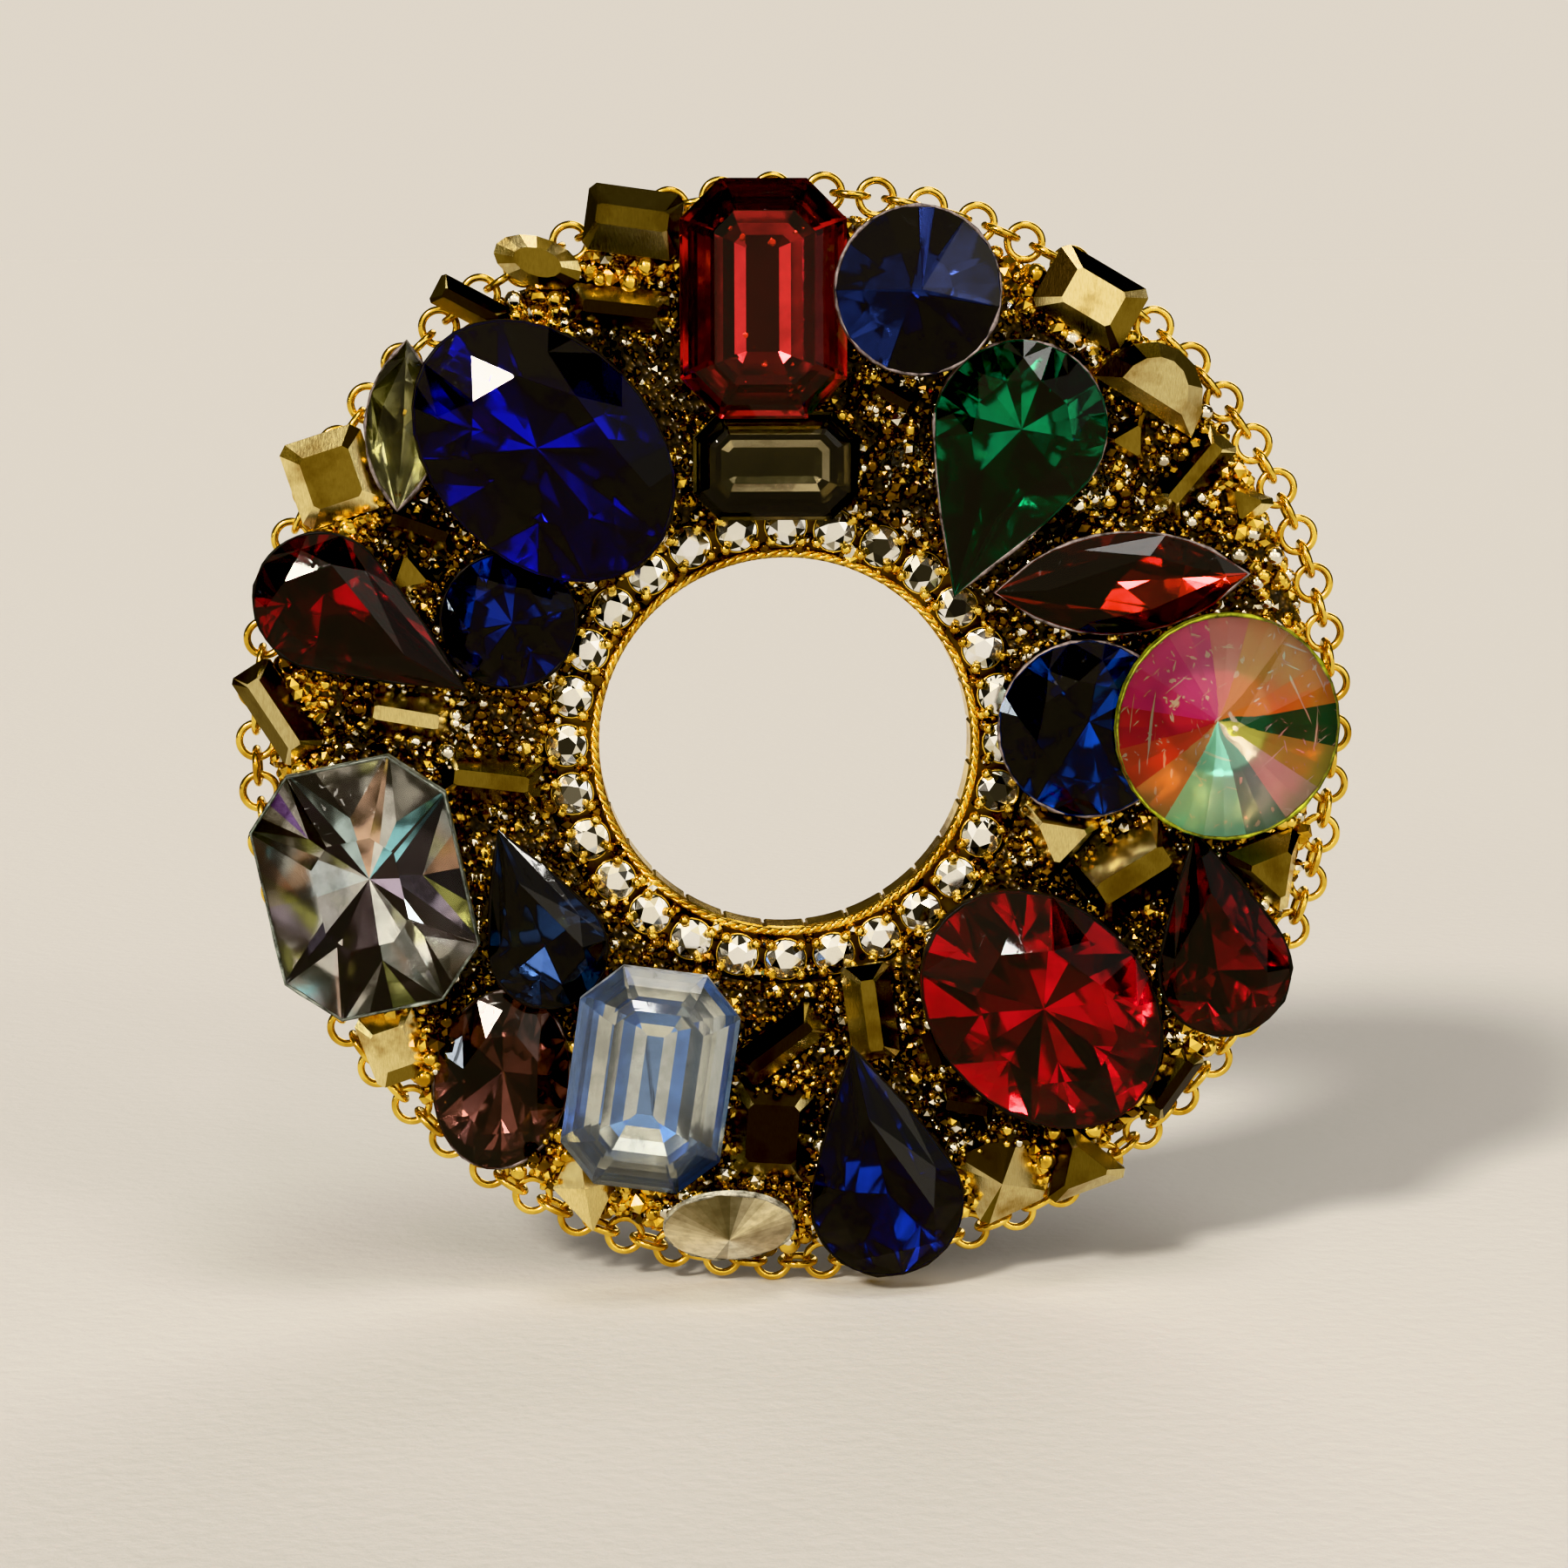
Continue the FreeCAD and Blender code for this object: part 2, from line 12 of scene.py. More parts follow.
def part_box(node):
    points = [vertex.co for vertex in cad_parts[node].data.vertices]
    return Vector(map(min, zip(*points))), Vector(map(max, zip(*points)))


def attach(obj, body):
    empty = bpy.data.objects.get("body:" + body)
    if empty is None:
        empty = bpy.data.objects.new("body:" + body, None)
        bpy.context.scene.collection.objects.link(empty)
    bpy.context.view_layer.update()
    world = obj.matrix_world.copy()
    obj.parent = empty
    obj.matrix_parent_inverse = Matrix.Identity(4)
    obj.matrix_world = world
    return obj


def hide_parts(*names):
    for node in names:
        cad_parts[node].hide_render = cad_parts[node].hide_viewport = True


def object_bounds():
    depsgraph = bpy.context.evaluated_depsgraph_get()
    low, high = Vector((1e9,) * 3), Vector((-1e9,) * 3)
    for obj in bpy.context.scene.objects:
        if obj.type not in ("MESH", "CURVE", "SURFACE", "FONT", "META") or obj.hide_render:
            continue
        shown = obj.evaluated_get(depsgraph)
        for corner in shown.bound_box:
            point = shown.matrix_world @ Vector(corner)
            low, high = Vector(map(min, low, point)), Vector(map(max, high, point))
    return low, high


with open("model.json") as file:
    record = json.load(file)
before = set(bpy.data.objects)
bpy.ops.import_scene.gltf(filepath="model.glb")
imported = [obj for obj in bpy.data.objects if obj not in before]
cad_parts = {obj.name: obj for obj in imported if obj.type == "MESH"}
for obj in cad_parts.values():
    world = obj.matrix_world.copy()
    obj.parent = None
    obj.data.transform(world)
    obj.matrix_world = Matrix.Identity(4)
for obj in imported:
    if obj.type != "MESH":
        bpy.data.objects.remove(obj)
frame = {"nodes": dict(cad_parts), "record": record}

# The ring brooch: faceted stones with foiled backs, gold mirror chips, grit in glue, a rhinestone cup
# chain and a rim chain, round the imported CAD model. Lengths are in metres; "out" is along FRONT.

MM = 0.001
ROOT = "brooch"
FRONT = Vector((0, -1, 0))
UP = Vector((0, 0, 1))
RIGHT = Vector((1, 0, 0))

cad_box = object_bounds()
plate_low, plate_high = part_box("base_plate")
disc_centre = (plate_low + plate_high) / 2
SLOT_OF = {p["node"]: p["material_slot"] for p in frame["record"]["subparts"]}


# ---- camera, light and floor --------------------------------------------------------------------

CAMERA_AZIMUTH = -3.0
CAMERA_ELEVATION = 8.0
CAMERA_DISTANCE = 230 * MM
FRAME_WIDTH = 95.2 * MM            # what the frame spans at the brooch
AIM_OFFSET = Vector((-0.8, 0, -3.0)) * MM
SENSOR = 36.0


def make_camera():
    """The view from the front, a little to the left and above."""
    azimuth = math.radians(CAMERA_AZIMUTH)
    elevation = math.radians(CAMERA_ELEVATION)
    away = Vector((math.sin(azimuth) * math.cos(elevation),
                   -math.cos(azimuth) * math.cos(elevation), math.sin(elevation)))
    aim = disc_centre + AIM_OFFSET
    data = bpy.data.cameras.new("camera")
    data.sensor_width = SENSOR
    data.lens = SENSOR * CAMERA_DISTANCE / FRAME_WIDTH
    data.clip_start = 1 * MM
    data.clip_end = 100
    camera = bpy.data.objects.new("camera", data)
    camera.location = aim + away * CAMERA_DISTANCE
    camera.rotation_euler = (-away).to_track_quat("-Z", "Y").to_euler()
    bpy.context.scene.collection.objects.link(camera)
    bpy.context.scene.camera = camera


WARM = (1.0, 0.93, 0.82)
NEUTRAL = (1.0, 0.97, 0.93)
COOL = (0.86, 0.93, 1.0)
# name, direction it comes from, spread in degrees, strength, colour
LIGHTS = [("key", (-0.42, -0.68, 0.52), 9, 2.5, WARM), ("front", (0.0, -0.97, 0.25), 95, 1.6, WARM),
          ("fill", (0.75, -0.60, 0.30), 40, 0.35, NEUTRAL), ("top", (0.15, -0.25, 0.90), 22, 0.7, NEUTRAL),
          ("back", (0.30, 0.80, 0.50), 35, 0.8, NEUTRAL),
          ("glint_1", (-0.30, -0.70, 0.25), 5, 0.12, WARM),
          ("glint_2", (0.38, -0.60, 0.40), 5, 0.12, NEUTRAL),
          ("glint_3", (-0.70, -0.30, 0.10), 6, 0.12, COOL),
          ("glint_4", (0.10, -0.80, 0.55), 4, 0.10, NEUTRAL)]
STUDIO_DIM = (0.09, 0.078, 0.065)
PAPER = (0.68, 0.665, 0.64)
WIDE_LIGHT_GAIN = 1.032            # a wide light that is low down gives the floor more than its middle would


def make_lights():
    """Distant soft boxes, so that the floor is lit evenly to the horizon."""
    for name, direction, spread, strength, colour in LIGHTS:
        data = bpy.data.lights.new(name, "SUN")
        data.angle = math.radians(spread)
        data.energy = strength
        data.color = colour
        light = bpy.data.objects.new(name, data)
        light.rotation_euler = Vector(direction).to_track_quat("Z", "Y").to_euler()
        bpy.context.scene.collection.objects.link(light)


def floor_glow():
    """How bright the far floor looks, which is also the wall's colour, so that no horizon shows."""
    glow = []
    for channel in range(3):
        lit = sum(strength * colour[channel] * Vector(direction).normalized().z / math.pi
                  for _, direction, _, strength, colour in LIGHTS)
        glow.append(PAPER[channel] * (lit + STUDIO_DIM[channel]) * WIDE_LIGHT_GAIN)
    return glow


def make_world():
    """A pale studio wall, dim where it lights the brooch so that the facets keep their contrast."""
    world = bpy.data.worlds.new("studio")
    world.use_nodes = True
    tree = world.node_tree
    tree.nodes.clear()
    out = tree.nodes.new("ShaderNodeOutputWorld")
    mix = tree.nodes.new("ShaderNodeMixShader")
    seen = tree.nodes.new("ShaderNodeBackground")
    seen.inputs["Color"].default_value = (*floor_glow(), 1)
    lit = tree.nodes.new("ShaderNodeBackground")
    lit.inputs["Color"].default_value = (*STUDIO_DIM, 1)
    path = tree.nodes.new("ShaderNodeLightPath")
    tree.links.new(path.outputs["Is Camera Ray"], mix.inputs[0])
    tree.links.new(lit.outputs[0], mix.inputs[1])
    tree.links.new(seen.outputs[0], mix.inputs[2])
    tree.links.new(mix.outputs[0], out.inputs[0])
    bpy.context.scene.world = world


def make_floor():
    """A wide sheet of pale paper that the brooch stands on."""
    size = 30.0
    low = cad_box[0][2]
    mesh = bpy.data.meshes.new("floor")
    mesh.from_pydata([(-size, -size, low), (size, -size, low), (size, size, low), (-size, size, low)],
                     [], [(0, 1, 2, 3)])
    floor = bpy.data.objects.new("floor", mesh)
    bpy.context.scene.collection.objects.link(floor)
    paper = Shader("floor_paper", PAPER, roughness=0.9, specular_ior_level=0.0)
    paper.bump(paper.noise(900.0, detail=4.0), 0.25, 0.3 * MM)
    mesh.materials.append(paper.material)


def deepen_blacks(view):
    """A contrast curve: the deepest shades go down towards black and the middle ones a little up."""
    view.use_curve_mapping = True
    curve = view.curve_mapping
    curve.black_level = (0.006, 0.006, 0.006)
    curve.curves[3].points.new(0.12, 0.10)
    curve.curves[3].points.new(0.5, 0.52)
    curve.update()


# ---- materials ----------------------------------------------------------------------------------

class Shader:
    """A Principled material with helpers for the procedural nodes that feed it."""

    def __init__(self, name, colour, **sockets):
        self.material = bpy.data.materials.new(name)
        self.material.use_nodes = True
        self.tree = self.material.node_tree
        self.surface = self.tree.nodes["Principled BSDF"]
        self.coords = self.tree.nodes.new("ShaderNodeTexCoord")
        self.surface.inputs["Base Color"].default_value = (*colour, 1)
        for key, value in sockets.items():
            socket = key.replace("_", " ").title().replace("Ior", "IOR")
            self.surface.inputs[socket].default_value = value

    def node(self, kind, **settings):
        made = self.tree.nodes.new("ShaderNode" + kind)
        for key, value in settings.items():
            setattr(made, key, value)
        return made

    def link(self, source, target):
        self.tree.links.new(source, target)

    def noise(self, scale, detail=3.0, roughness=0.55, stretch=(1, 1, 1)):
        """Noise in object space: scale is in waves per metre."""
        mapping = self.node("Mapping")
        mapping.inputs["Scale"].default_value = stretch
        self.link(self.coords.outputs["Object"], mapping.inputs["Vector"])
        made = self.node("TexNoise")
        made.inputs["Scale"].default_value = scale
        made.inputs["Detail"].default_value = detail
        made.inputs["Roughness"].default_value = roughness
        self.link(mapping.outputs[0], made.inputs["Vector"])
        return made.outputs["Fac"]

    def scratches(self, turns=(0.3, 1.4, 2.5)):
        """Fine straight marks in a few directions: 1 on a mark, 0 off it."""
        total = None
        for turn in turns:
            mapping = self.node("Mapping", vector_type="TEXTURE")
            mapping.inputs["Rotation"].default_value = (0, turn, 0)
            mapping.inputs["Scale"].default_value = (1, 1, 25)
            self.link(self.coords.outputs["Object"], mapping.inputs["Vector"])
            streaks = self.node("TexNoise")
            streaks.inputs["Scale"].default_value = 3000.0
            streaks.inputs["Detail"].default_value = 2.0
            self.link(mapping.outputs[0], streaks.inputs["Vector"])
            marks = self.ramp(streaks.outputs["Fac"], [(0.66, (0, 0, 0)), (0.7, (1, 1, 1))])
            total = marks if total is None else self.blend("LIGHTEN", total, marks)
        return total

    def cells(self, scale):
        """How far each point is from the middle of its cell."""
        made = self.node("TexVoronoi", feature="F1")
        made.inputs["Scale"].default_value = scale
        self.link(self.coords.outputs["Object"], made.inputs["Vector"])
        return made.outputs["Distance"]

    def attribute(self, name):
        """A number that the mesh holds for each facet."""
        return self.node("Attribute", attribute_name=name).outputs["Fac"]

    def by_facing(self, seed):
        """A random 0..1 value for each flat face of a CAD node, from the way it faces."""
        geometry = self.node("NewGeometry")
        moved = self.node("VectorMath", operation="ADD")
        moved.inputs[1].default_value = (seed + 0.0137, seed + 0.0071, seed + 0.0113)
        self.link(geometry.outputs["True Normal"], moved.inputs[0])
        snapped = self.node("VectorMath", operation="SNAP")
        snapped.inputs[1].default_value = (0.031, 0.029, 0.033)
        self.link(moved.outputs[0], snapped.inputs[0])
        made = self.node("TexWhiteNoise")
        self.link(snapped.outputs[0], made.inputs["Vector"])
        return made.outputs["Value"]

    def ramp(self, value, stops):
        """A colour ramp: stops are (position, (r, g, b))."""
        made = self.node("ValToRGB")
        elements = made.color_ramp.elements
        while len(elements) < len(stops):
            elements.new(0.5)
        for element, (place, colour) in zip(elements, stops):
            element.position = place
            element.color = (*colour, 1)
        self.link(value, made.inputs["Fac"])
        return made.outputs["Color"]

    def spread(self, value, low, high):
        """A 0..1 value mapped to low..high."""
        made = self.node("MapRange")
        made.inputs["To Min"].default_value = low
        made.inputs["To Max"].default_value = high
        self.link(value, made.inputs["Value"])
        return made.outputs["Result"]

    def blend(self, kind, first, second):
        """Two colours joined: second is laid over first, MULTIPLY or another kind."""
        made = self.node("Mix", data_type="RGBA", blend_type=kind)
        made.inputs[0].default_value = 1.0
        self.link(first, made.inputs[6])
        self.link(second, made.inputs[7])
        return made.outputs[2]

    def feed(self, socket, value):
        self.link(value, self.surface.inputs[socket])

    def bump(self, height, strength, distance):
        made = self.node("Bump")
        made.inputs["Strength"].default_value = strength
        made.inputs["Distance"].default_value = distance
        self.link(height, made.inputs["Height"])
        self.link(made.outputs["Normal"], self.surface.inputs["Normal"])


RUB_ROUGHNESS = 0.14               # how much rougher a stone is where it is rubbed


def glass_skin(name, tint, haze, milk):
    """The clear, coloured top of a stone, with fine rubs that show in the gloss."""
    skin = Shader(name, tint, transmission_weight=1.0 - milk, ior=1.52, specular_ior_level=0.1)
    rubs = skin.noise(1300.0, detail=9.0, roughness=0.75, stretch=(1, 1, 0.12))
    faint = skin.ramp(rubs, [(0.3, (0, 0, 0)), (0.7, (0.2, 0.2, 0.2))])
    marks = skin.blend("LIGHTEN", faint, skin.scratches())
    skin.feed("Roughness", skin.spread(marks, haze, haze + RUB_ROUGHNESS))
    return skin.material


def painted_light_side(bearing, dark):
    """Ramp stops round a stone for painted light and shade: white towards bearing (a share of a turn) and
    dark on its far side.
    """
    stops = []
    for i in range(9):
        light = 0.5 + 0.5 * math.cos(2 * math.pi * (i / 8 - bearing))
        stops.append((i / 8, (dark + (1 - dark) * light,) * 3))
    return stops


def foil(name, stops, rough, bearing):
    """The mirror foil behind a stone: bright or dark by facet as painted reflections, brighter to one side as
    painted light, thin in patches.
    """
    back = Shader(name, stops[-1][1], metallic=1.0)
    # painted reflections: each facet's brightness comes from the foil's stops
    facets = back.ramp(back.attribute("facet"), stops)
    # painted light and shade: the foil lighter towards bearing, darker on its far side
    side = back.ramp(back.attribute("azimuth"), painted_light_side(bearing, 0.5))
    patches = back.ramp(back.noise(420.0, detail=3.0), [(0.3, (0.65, 0.65, 0.65)), (0.55, (1, 1, 1))])
    back.feed("Base Color", back.blend("MULTIPLY", back.blend("MULTIPLY", facets, side), patches))
    back.feed("Roughness", back.spread(back.noise(1800.0), rough, rough + 0.12))
    back.bump(back.noise(700.0), 0.12, 0.05 * MM)
    return back.material


def fan_foil(name, stops, rough, bearing):
    """A foil whose colour changes round the stone from bearing, painted glints included, uneven by facet and
    finely scratched.
    """
    back = Shader(name, stops[-1][1], metallic=0.6)
    turned = back.node("Math", operation="FRACT")
    shifted = back.node("Math", operation="SUBTRACT")
    shifted.inputs[1].default_value = bearing
    back.link(back.attribute("azimuth"), shifted.inputs[0])
    back.link(shifted.outputs[0], turned.inputs[0])
    fan = back.ramp(turned.outputs[0], stops)
    uneven = back.ramp(back.attribute("facet"),
                       [(0.0, (0.35, 0.3, 0.3)), (0.45, (0.85, 0.8, 0.8)), (1.0, (1, 1, 1))])
    marks = back.ramp(back.scratches((0.1, 0.9, 1.9, 2.7)), [(0.0, (0, 0, 0)), (1.0, (0.6, 0.57, 0.5))])
    back.feed("Base Color", back.blend("LIGHTEN", back.blend("MULTIPLY", fan, uneven), marks))
    back.feed("Roughness", back.spread(back.noise(1800.0), rough, rough + 0.12))
    back.bump(back.noise(700.0), 0.12, 0.05 * MM)
    return back.material


def cut_crystal(name, stops):
    """A small rhinestone with facets painted bright or dark as painted reflections, with a glassy top."""
    crystal = Shader(name, stops[-1][1], metallic=0.9, coat_weight=1.0, coat_roughness=0.02)
    crystal.feed("Base Color", crystal.ramp(crystal.attribute("facet"), stops))
    crystal.feed("Roughness", crystal.spread(crystal.noise(2400.0), 0.03, 0.2))
    return crystal.material


def rim_paint(name, colour):
    """The dull, broken edge of glue and foil at a stone's girdle."""
    paint = Shader(name, colour, metallic=0.35)
    shade = [(0.35, tuple(c * 0.08 for c in colour)), (0.5, tuple(c * 0.5 for c in colour)), (0.68, colour)]
    paint.feed("Base Color", paint.ramp(paint.noise(1100.0, detail=6.0, roughness=0.7), shade))
    paint.feed("Roughness", paint.spread(paint.noise(2200.0), 0.3, 0.65))
    paint.bump(paint.noise(4000.0), 0.6, 0.08 * MM)
    return paint.material


def satin_silver(name, stops):
    """A satin mirror coating with a fan of painted reflections, light and dark, that turns round the stone.
    """
    silver = Shader(name, stops[-1][1], metallic=0.6, coat_weight=0.6, coat_roughness=0.08)
    # painted reflections: light and dark sectors by azimuth
    fan = silver.ramp(silver.attribute("azimuth"), stops)
    dust = silver.ramp(silver.noise(1400.0, detail=6.0), [(0.35, (0.7, 0.68, 0.62)), (0.6, (1, 1, 1))])
    silver.feed("Base Color", silver.blend("MULTIPLY", fan, dust))
    silver.feed("Roughness", silver.spread(silver.noise(2400.0), 0.22, 0.42))
    return silver.material


def gold(name, bright=(1.0, 0.73, 0.22), dark=(0.5, 0.29, 0.04), rough=(0.08, 0.3), grain=(1, 1, 1)):
    """Gold plating: a little tarnish in patches, fine rubs along the grain."""
    metal = Shader(name, bright, metallic=1.0)
    metal.feed("Base Color", metal.ramp(metal.noise(420.0, detail=5.0), [(0.32, dark), (0.6, bright)]))
    metal.feed("Roughness", metal.spread(metal.noise(2600.0, stretch=grain), *rough))
    metal.bump(metal.noise(3200.0, stretch=grain), 0.12, 0.04 * MM)
    return metal.material


def gold_mirror(name, shade, seed):
    """The chips' mirror coating: facets painted pale gold, olive or near black as painted light and shade,
    with brushed polishing lines.
    """
    bright = tuple(c * shade for c in (1.0, 0.86, 0.50))
    olive = tuple(c * shade for c in (0.32, 0.24, 0.08))
    coat = Shader(name, bright, metallic=1.0)
    # painted light and shade: each facet bright, olive or near black
    facets = coat.ramp(coat.by_facing(seed),
                       [(0.1, (0.03, 0.02, 0.01)), (0.2, olive), (0.3, olive), (0.36, bright)])
    wear = coat.ramp(coat.noise(380.0, detail=5.0), [(0.32, (0.6, 0.52, 0.4)), (0.5, (1, 1, 1))])
    lines = coat.noise(2600.0, detail=6.0, roughness=0.7, stretch=(7, 1, 1))
    brushed = coat.ramp(lines, [(0.35, (0.8, 0.76, 0.68)), (0.6, (1, 1, 1))])
    coat.feed("Base Color", coat.blend("MULTIPLY", coat.blend("MULTIPLY", facets, wear), brushed))
    coat.feed("Roughness", coat.spread(lines, 0.05, 0.35))
    coat.bump(lines, 0.2, 0.04 * MM)
    return coat.material


def glue_material():
    """Clear glue over a bronze ground, lumpy with the grit under it."""
    glue = Shader("granule_glue", (0.1, 0.055, 0.015), metallic=0.4, coat_weight=0.5, coat_roughness=0.15)
    lumps = glue.cells(2600.0)
    glue.feed("Base Color", glue.ramp(lumps, [(0.0, (0.3, 0.18, 0.04)), (0.3, (0.08, 0.045, 0.01)),
                                              (0.7, (0.01, 0.006, 0.002))]))
    glue.feed("Roughness", glue.spread(glue.noise(1500.0), 0.25, 0.5))
    glue.bump(lumps, 0.9, 0.25 * MM)
    return glue.material


def felt_material():
    """Pressed black felt: matted fibres that catch the light, with a few pale ones."""
    felt = Shader("felt", (0.03, 0.03, 0.035), roughness=0.95, sheen_weight=0.7, sheen_roughness=0.6)
    mats = felt.noise(900.0, detail=9.0, roughness=0.8)
    felt.feed("Base Color", felt.ramp(mats, [(0.4, (0.006, 0.006, 0.008)), (0.5, (0.03, 0.028, 0.03)),
                                             (0.6, (0.16, 0.15, 0.15))]))
    felt.bump(felt.noise(2200.0, detail=8.0, roughness=0.8), 1.0, 0.5 * MM)
    return felt.material


# ---- mesh helpers -------------------------------------------------------------------------------

def add_piece(mesh, name, materials):
    """The bmesh as an object in the scene."""
    data = bpy.data.meshes.new(name)
    mesh.to_mesh(data)
    mesh.free()
    for material in materials:
        data.materials.append(material)
    piece = bpy.data.objects.new(name, data)
    bpy.context.scene.collection.objects.link(piece)
    return piece


def settle(piece, *nodes):
    """The piece rides on the brooch and stands for its CAD nodes."""
    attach(piece, ROOT)
    if nodes:
        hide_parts(*nodes)


def islands(node):
    """The separate solids of a CAD node, each as its own bmesh."""
    work = bmesh.new()
    work.from_mesh(frame["nodes"][node].data)
    bmesh.ops.remove_doubles(work, verts=work.verts, dist=1e-6)
    parts = []
    seen = set()
    for first in work.verts:
        if first in seen:
            continue
        group = {first: None}
        waiting = [first]
        while waiting:
            for edge in waiting.pop().link_edges:
                for vert in edge.verts:
                    if vert not in group:
                        group[vert] = None
                        waiting.append(vert)
        seen.update(group)
        part = bmesh.new()
        twin = {vert: part.verts.new(vert.co) for vert in group}
        for face in work.faces:
            if face.verts[0] in twin:
                part.faces.new([twin[vert] for vert in face.verts])
        part.verts.index_update()
        part.normal_update()
        parts.append(part)
    work.free()
    return parts


def lathe(mesh, centre, profile, sides):
    """A closed profile of (radius, height) points turned about the axis out of the front."""
    rings = []
    for radius, height in profile:
        ring = []
        for i in range(sides):
            angle = 2 * math.pi * i / sides
            ring.append(mesh.verts.new(centre + RIGHT * radius * math.cos(angle)
                                       + UP * radius * math.sin(angle) + FRONT * height))
        rings.append(ring)
    for low, high in zip(rings, rings[1:] + rings[:1]):
        for i in range(sides):
            j = (i + 1) % sides
            mesh.faces.new([low[i], low[j], high[j], high[i]]).smooth = True


def tube(mesh, path, radii, sides, closed=False):
    """A round bar along path, a ring when closed and capped when open."""
    count = len(path)
    rings = []
    for i in range(count):
        before = path[i - 1] if closed or i else path[i]
        after = path[(i + 1) % count] if closed or i < count - 1 else path[i]
        along = (after - before).normalized()
        side = along.cross(Vector((0.31, -0.9, 0.29))).normalized()
        lift = side.cross(along)
        ring = []
        for k in range(sides):
            angle = 2 * math.pi * k / sides
            away = side * math.cos(angle) + lift * math.sin(angle)
            ring.append(mesh.verts.new(path[i] + away * radii[i]))
        rings.append(ring)
    pairs = list(zip(rings, rings[1:] + rings[:1]))
    for low, high in pairs if closed else pairs[:-1]:
        for k in range(sides):
            j = (k + 1) % sides
            mesh.faces.new([low[k], low[j], high[j], high[k]]).smooth = True
    if not closed:
        mesh.faces.new(rings[0][::-1])
        mesh.faces.new(rings[-1])


# ---- what the CAD stones are like ---------------------------------------------------------------

class StoneFrame:
    """A CAD stone's own axes, its girdle outline and its depths, read from its faces."""

    def __init__(self, work):
        self.normal = self._facing(work, self._facing(work, FRONT))
        crown = {f for f in work.faces if f.normal.dot(self.normal) > 0.3}
        back = {f for f in work.faces if f.normal.dot(self.normal) < -0.3}
        self.across = UP.cross(self.normal).normalized()
        self.along = self.normal.cross(self.across)
        heights = [v.co.dot(self.normal) for v in work.verts]
        lowest = [v.co for v, h in zip(work.verts, heights) if h < min(heights) + 1e-5]
        root = sum(lowest, Vector()) / len(lowest)
        loop = self._boundary(crown)
        top = sum(p.dot(self.normal) for p in loop) / len(loop)
        under = self._boundary(back)
        bottom = sum(p.dot(self.normal) for p in under) / len(under)
        self.centre = root + self.normal * (top - root.dot(self.normal))
        self.crown_height = max(heights) - top
        self.girdle_height = top - bottom
        self.depth = (bottom - min(heights)) * 0.97
        self.outline = self._from_sharpest([self._flat(p) for p in loop])
        work.free()

    @staticmethod
    def _facing(work, guess):
        """The plane normal of the girdle: the vector area of the faces on guess's side."""
        total = Vector()
        for f in work.faces:
            if f.normal.dot(guess) > 0.3:
                total += f.normal * f.calc_area()
        return total.normalized()

    @staticmethod
    def _boundary(patch):
        """The patch's rim as an ordered loop of points."""
        after = {}
        for f in patch:
            for corner in f.loops:
                if not any(g in patch for g in corner.edge.link_faces if g is not f):
                    after[corner.vert] = corner.link_loop_next.vert
        ordered = [min(after, key=lambda v: v.index)]
        while after[ordered[-1]] is not ordered[0]:
            ordered.append(after[ordered[-1]])
        return [v.co.copy() for v in ordered]

    def _flat(self, point):
        offset = point - self.centre
        return Vector((offset.dot(self.across), offset.dot(self.along)))

    @staticmethod
    def _from_sharpest(points):
        turn = [corner_turn(points, i) for i in range(len(points))]
        start = turn.index(max(turn))
        return points[start:] + points[:start]

    def place(self, x, y, z):
        return self.centre + self.across * x + self.along * y + self.normal * z


def corner_turn(points, i):
    before = points[i] - points[i - 1]
    after = points[(i + 1) % len(points)] - points[i]
    return abs(before.angle_signed(after))


SHARP = math.radians(32)


def smoothed(points):
    """The outline with a point added between each two, on a curve where neither is a corner."""
    out = []
    count = len(points)
    for i in range(count):
        a, b = points[i], points[(i + 1) % count]
        out.append(a)
        if corner_turn(points, i) > SHARP or corner_turn(points, (i + 1) % count) > SHARP:
            out.append((a + b) / 2)
        else:
            before, after = points[i - 1], points[(i + 2) % count]
            out.append((a + b) * 0.5625 - (before + after) * 0.0625)
    return out


def inset(points, depth):
    """A convex outline moved inwards by depth, edge by edge."""
    out = []
    count = len(points)
    for i in range(count):
        a = (points[i] - points[i - 1]).normalized()
        b = (points[(i + 1) % count] - points[i]).normalized()
        normal_a = Vector((-a.y, a.x))
        normal_b = Vector((-b.y, b.x))
        middle = (normal_a + normal_b).normalized()
        out.append(points[i] + middle * depth / max(middle.dot(normal_a), 0.2))
    return out


# ---- facets -------------------------------------------------------------------------------------

CROWN, BACK, RIM = 0, 1, 2         # a stone's material slots: glass, foil and edge
SNUG = 0.99                        # stones are cut this much inside their seats
GLUED_DEPTH = 1 * MM               # a shallower stone, such as one in a cup, has no bead of glue
BLUNT = 0.9                        # a point's share of the seat's depth, so it can stand off centre


